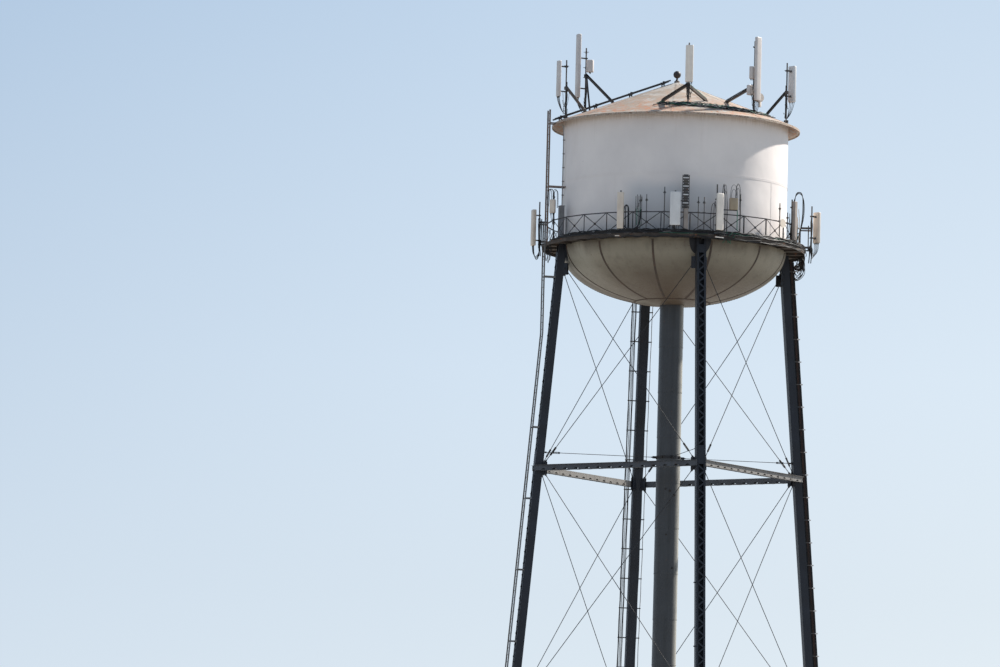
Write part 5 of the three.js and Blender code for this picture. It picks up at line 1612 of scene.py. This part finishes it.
# Small fittings on the railing. Thin pipes with a pair of cross pins near the top, clamped to the rails
# like the antennas' pipes; one of them carries a small round dish and another a plastic box with cables.
post_parts = []
for degrees, top, radius in ((-107.9, 31.65, 0.022), (-92.9, 31.27, 0.018), (-90.2, 31.27, 0.018),
                             (-73.0, 31.5, 0.026), (-48.7, 31.36, 0.024), (-42.1, 31.04, 0.020),
                             (-118.6, 31.3, 0.016), (-115.8, 31.33, 0.016), (-172.4, 31.8, 0.026)):
    station = rail_station(degrees, 0.05)
    post_parts += rail_post(station, 29.66, top, 0.05, radius)
    post_parts += cross_pins(station, top - 0.25, 0.07)
piece("railing_posts", post_parts, mount_paint, smooth_below=40)

station = rail_station(-48.7, 0.05)
piece("railing_dish", [dish(station, 0.10, 0.085, 30.49, 0.19),
                       bar_at(station, [0.0, 0, 30.49], [0.11, 0, 30.49], box_outline(0.07, 0.09))],
      covers["tan"], smooth_below=50)
box_station = faced(rail_station(-172.4, 0.05), 40)
box_parts = [cover(box_station, 0.24, 0.15, 30.87, 31.45, 0.12, 0.0, 0.2)]
box_plugs, box_starts = plugs(box_station, 0.24, 30.87, 0.12, 4)
box_ends = standing(box_station, [[-0.02, 0.02 * step, 30.4] for step in range(4)])
piece("railing_box_cover", box_parts, covers["tan"], smooth_below=50)
piece("railing_box_cables", box_plugs + [hoses(slack(box_starts, box_ends, 0.12), 0.010, 6),
                                         tall_loops(box_station, 5, 31.2, 31.95, 0.22, 0.14, 0.012)],
      cable_black, smooth_below=60)


# Equipment cabinet. A grey steel box on two channels on the balcony, with a rain lip, a door on two
# hinges with a latch, and two conduits under it.
cabinet = (np.radians(-173.2), 5.17, 0.0, 0.0)
cabinet_depth, cabinet_width, cabinet_low, cabinet_high = 0.18, 0.30, 29.73, 31.23
cabinet_parts = [bar_at(cabinet, [0, 0, cabinet_low], [0, 0, cabinet_high - 0.03],
                        soft_outline(cabinet_width, cabinet_depth, 20, 0.14)),
                 carried(standing(cabinet, [[0, 0, cabinet_high - 0.04], [0, 0, cabinet_high]]),
                         towards(cabinet, [1, 0, 0]),
                         soft_outline(cabinet_width + 0.02, cabinet_depth + 0.02, 20, 0.14), [1, 0.985])]
cabinet_parts.append(bar_at(cabinet, [cabinet_depth / 2 + 0.006, 0, cabinet_low + 0.03],
                            [cabinet_depth / 2 + 0.006, 0, cabinet_high - 0.08],
                            box_outline(cabinet_width - 0.05, 0.012)))
for level in (cabinet_low + 0.22, cabinet_high - 0.27):
    cabinet_parts.append(bar_at(cabinet, [cabinet_depth / 2 + 0.01, 0.13, level],
                                [cabinet_depth / 2 + 0.01, 0.13, level + 0.09], round_outline(0.011, 8)))
cabinet_parts.append(bar_at(cabinet, [cabinet_depth / 2 + 0.012, -0.10, 30.38],
                            [cabinet_depth / 2 + 0.012, -0.10, 30.52], box_outline(0.03, 0.016)))
for sideways in (-0.1, 0.1):
    cabinet_parts.append(bar_at(cabinet, [-0.09, sideways, 29.691], [0.09, sideways, 29.691],
                                box_outline(0.05, 0.081)))
    cabinet_parts.append(bar_at(cabinet, [0.03, 0.5 * sideways, 29.655],
                                [0.03, 0.5 * sideways, cabinet_low + 0.01], round_outline(0.02, 8)))
cabinet_paint = weathered("cabinet_paint", (0.235, 0.24, 0.26), (0.18, 0.175, 0.175), patch=2.0,
                          rust_share=0.15, streaks=0.4, roughness=0.55, metallic=0.1)
piece("equipment_cabinet_box", cabinet_parts, cabinet_paint, ["equipment_cabinet"],
      smooth_below=35)


# Saddle plates. Where each leg meets the tank a curved plate as wide as two legs is riveted to the
# shell's foot and the bowl, with its lower edge rounded.
saddle_half_angle, saddle_bottom, saddle_top, saddle_face = 0.098, 28.93, 29.58, 0.022


def bowl_radius(level):
    """The radius of the bowl's outside at a level below the spring line."""
    return tank_radius * np.sqrt(1 - ((spring_level - level) / bowl_depth) ** 2)


def saddle(spin):
    """A plate that follows the bowl: at each angle its lower edge lies on half an oval, and from there
    to its top its outside and its inside follow the bowl's line."""
    along = np.linspace(-1, 1, 25)
    lower = saddle_top - (saddle_top - saddle_bottom) * np.clip(1 - np.abs(along) ** 3.0, 0.05, 1) ** 0.5
    level = lower[:, None] + (saddle_top - lower[:, None]) * np.linspace(0, 1, 8)
    radius = bowl_radius(level)
    radius = np.concatenate([radius + saddle_face, (radius + 0.001)[:, ::-1]], 1)
    level = np.concatenate([level, level[:, ::-1]], 1)
    points = polar(radius, spin + saddle_half_angle * along[:, None], level)
    columns = radius.shape[1]
    end = np.arange(columns)
    return points.reshape(-1, 3), [grid(len(along), columns, close_columns=True)[:, ::-1], end[None],
                                   end[None, ::-1] + (len(along) - 1) * columns]


saddle_parts = []
for spin in sides.values():
    saddle_parts.append(saddle(spin))
    for step in (-0.085, -0.074, 0.074, 0.085):
        level = np.linspace(29.2, 29.5, 4)
        points = polar(bowl_radius(level) + saddle_face, spin + step, level)
        saddle_parts.append(rivets(points, polar(1.0, spin + step, 0 * level), 0.015))
piece("leg_saddle_plates", saddle_parts, leg_paint, smooth_below=40)


# Conduit. A painted pipe from the balcony to the eave on the tank's left, in dark clips.
conduit_spin, conduit_radius = np.radians(178), 4.945
conduit_ends = polar(conduit_radius, conduit_spin, [29.66, 34.86])
piece("tank_conduit", [bars(*conduit_ends, polar(1.0, conduit_spin, 0.0),
                            round_outline(0.025, 10))], cable_grey, smooth_below=60)
clip_levels = np.arange(30.0, 34.8, 0.6)
clip_ends = [polar(out, conduit_spin, clip_levels) for out in (tank_radius + 0.006, conduit_radius + 0.03)]
piece("tank_conduit_clips", [bars(*clip_ends, upwards, box_outline(0.075, 0.03))],
      mount_paint, smooth_below=40)
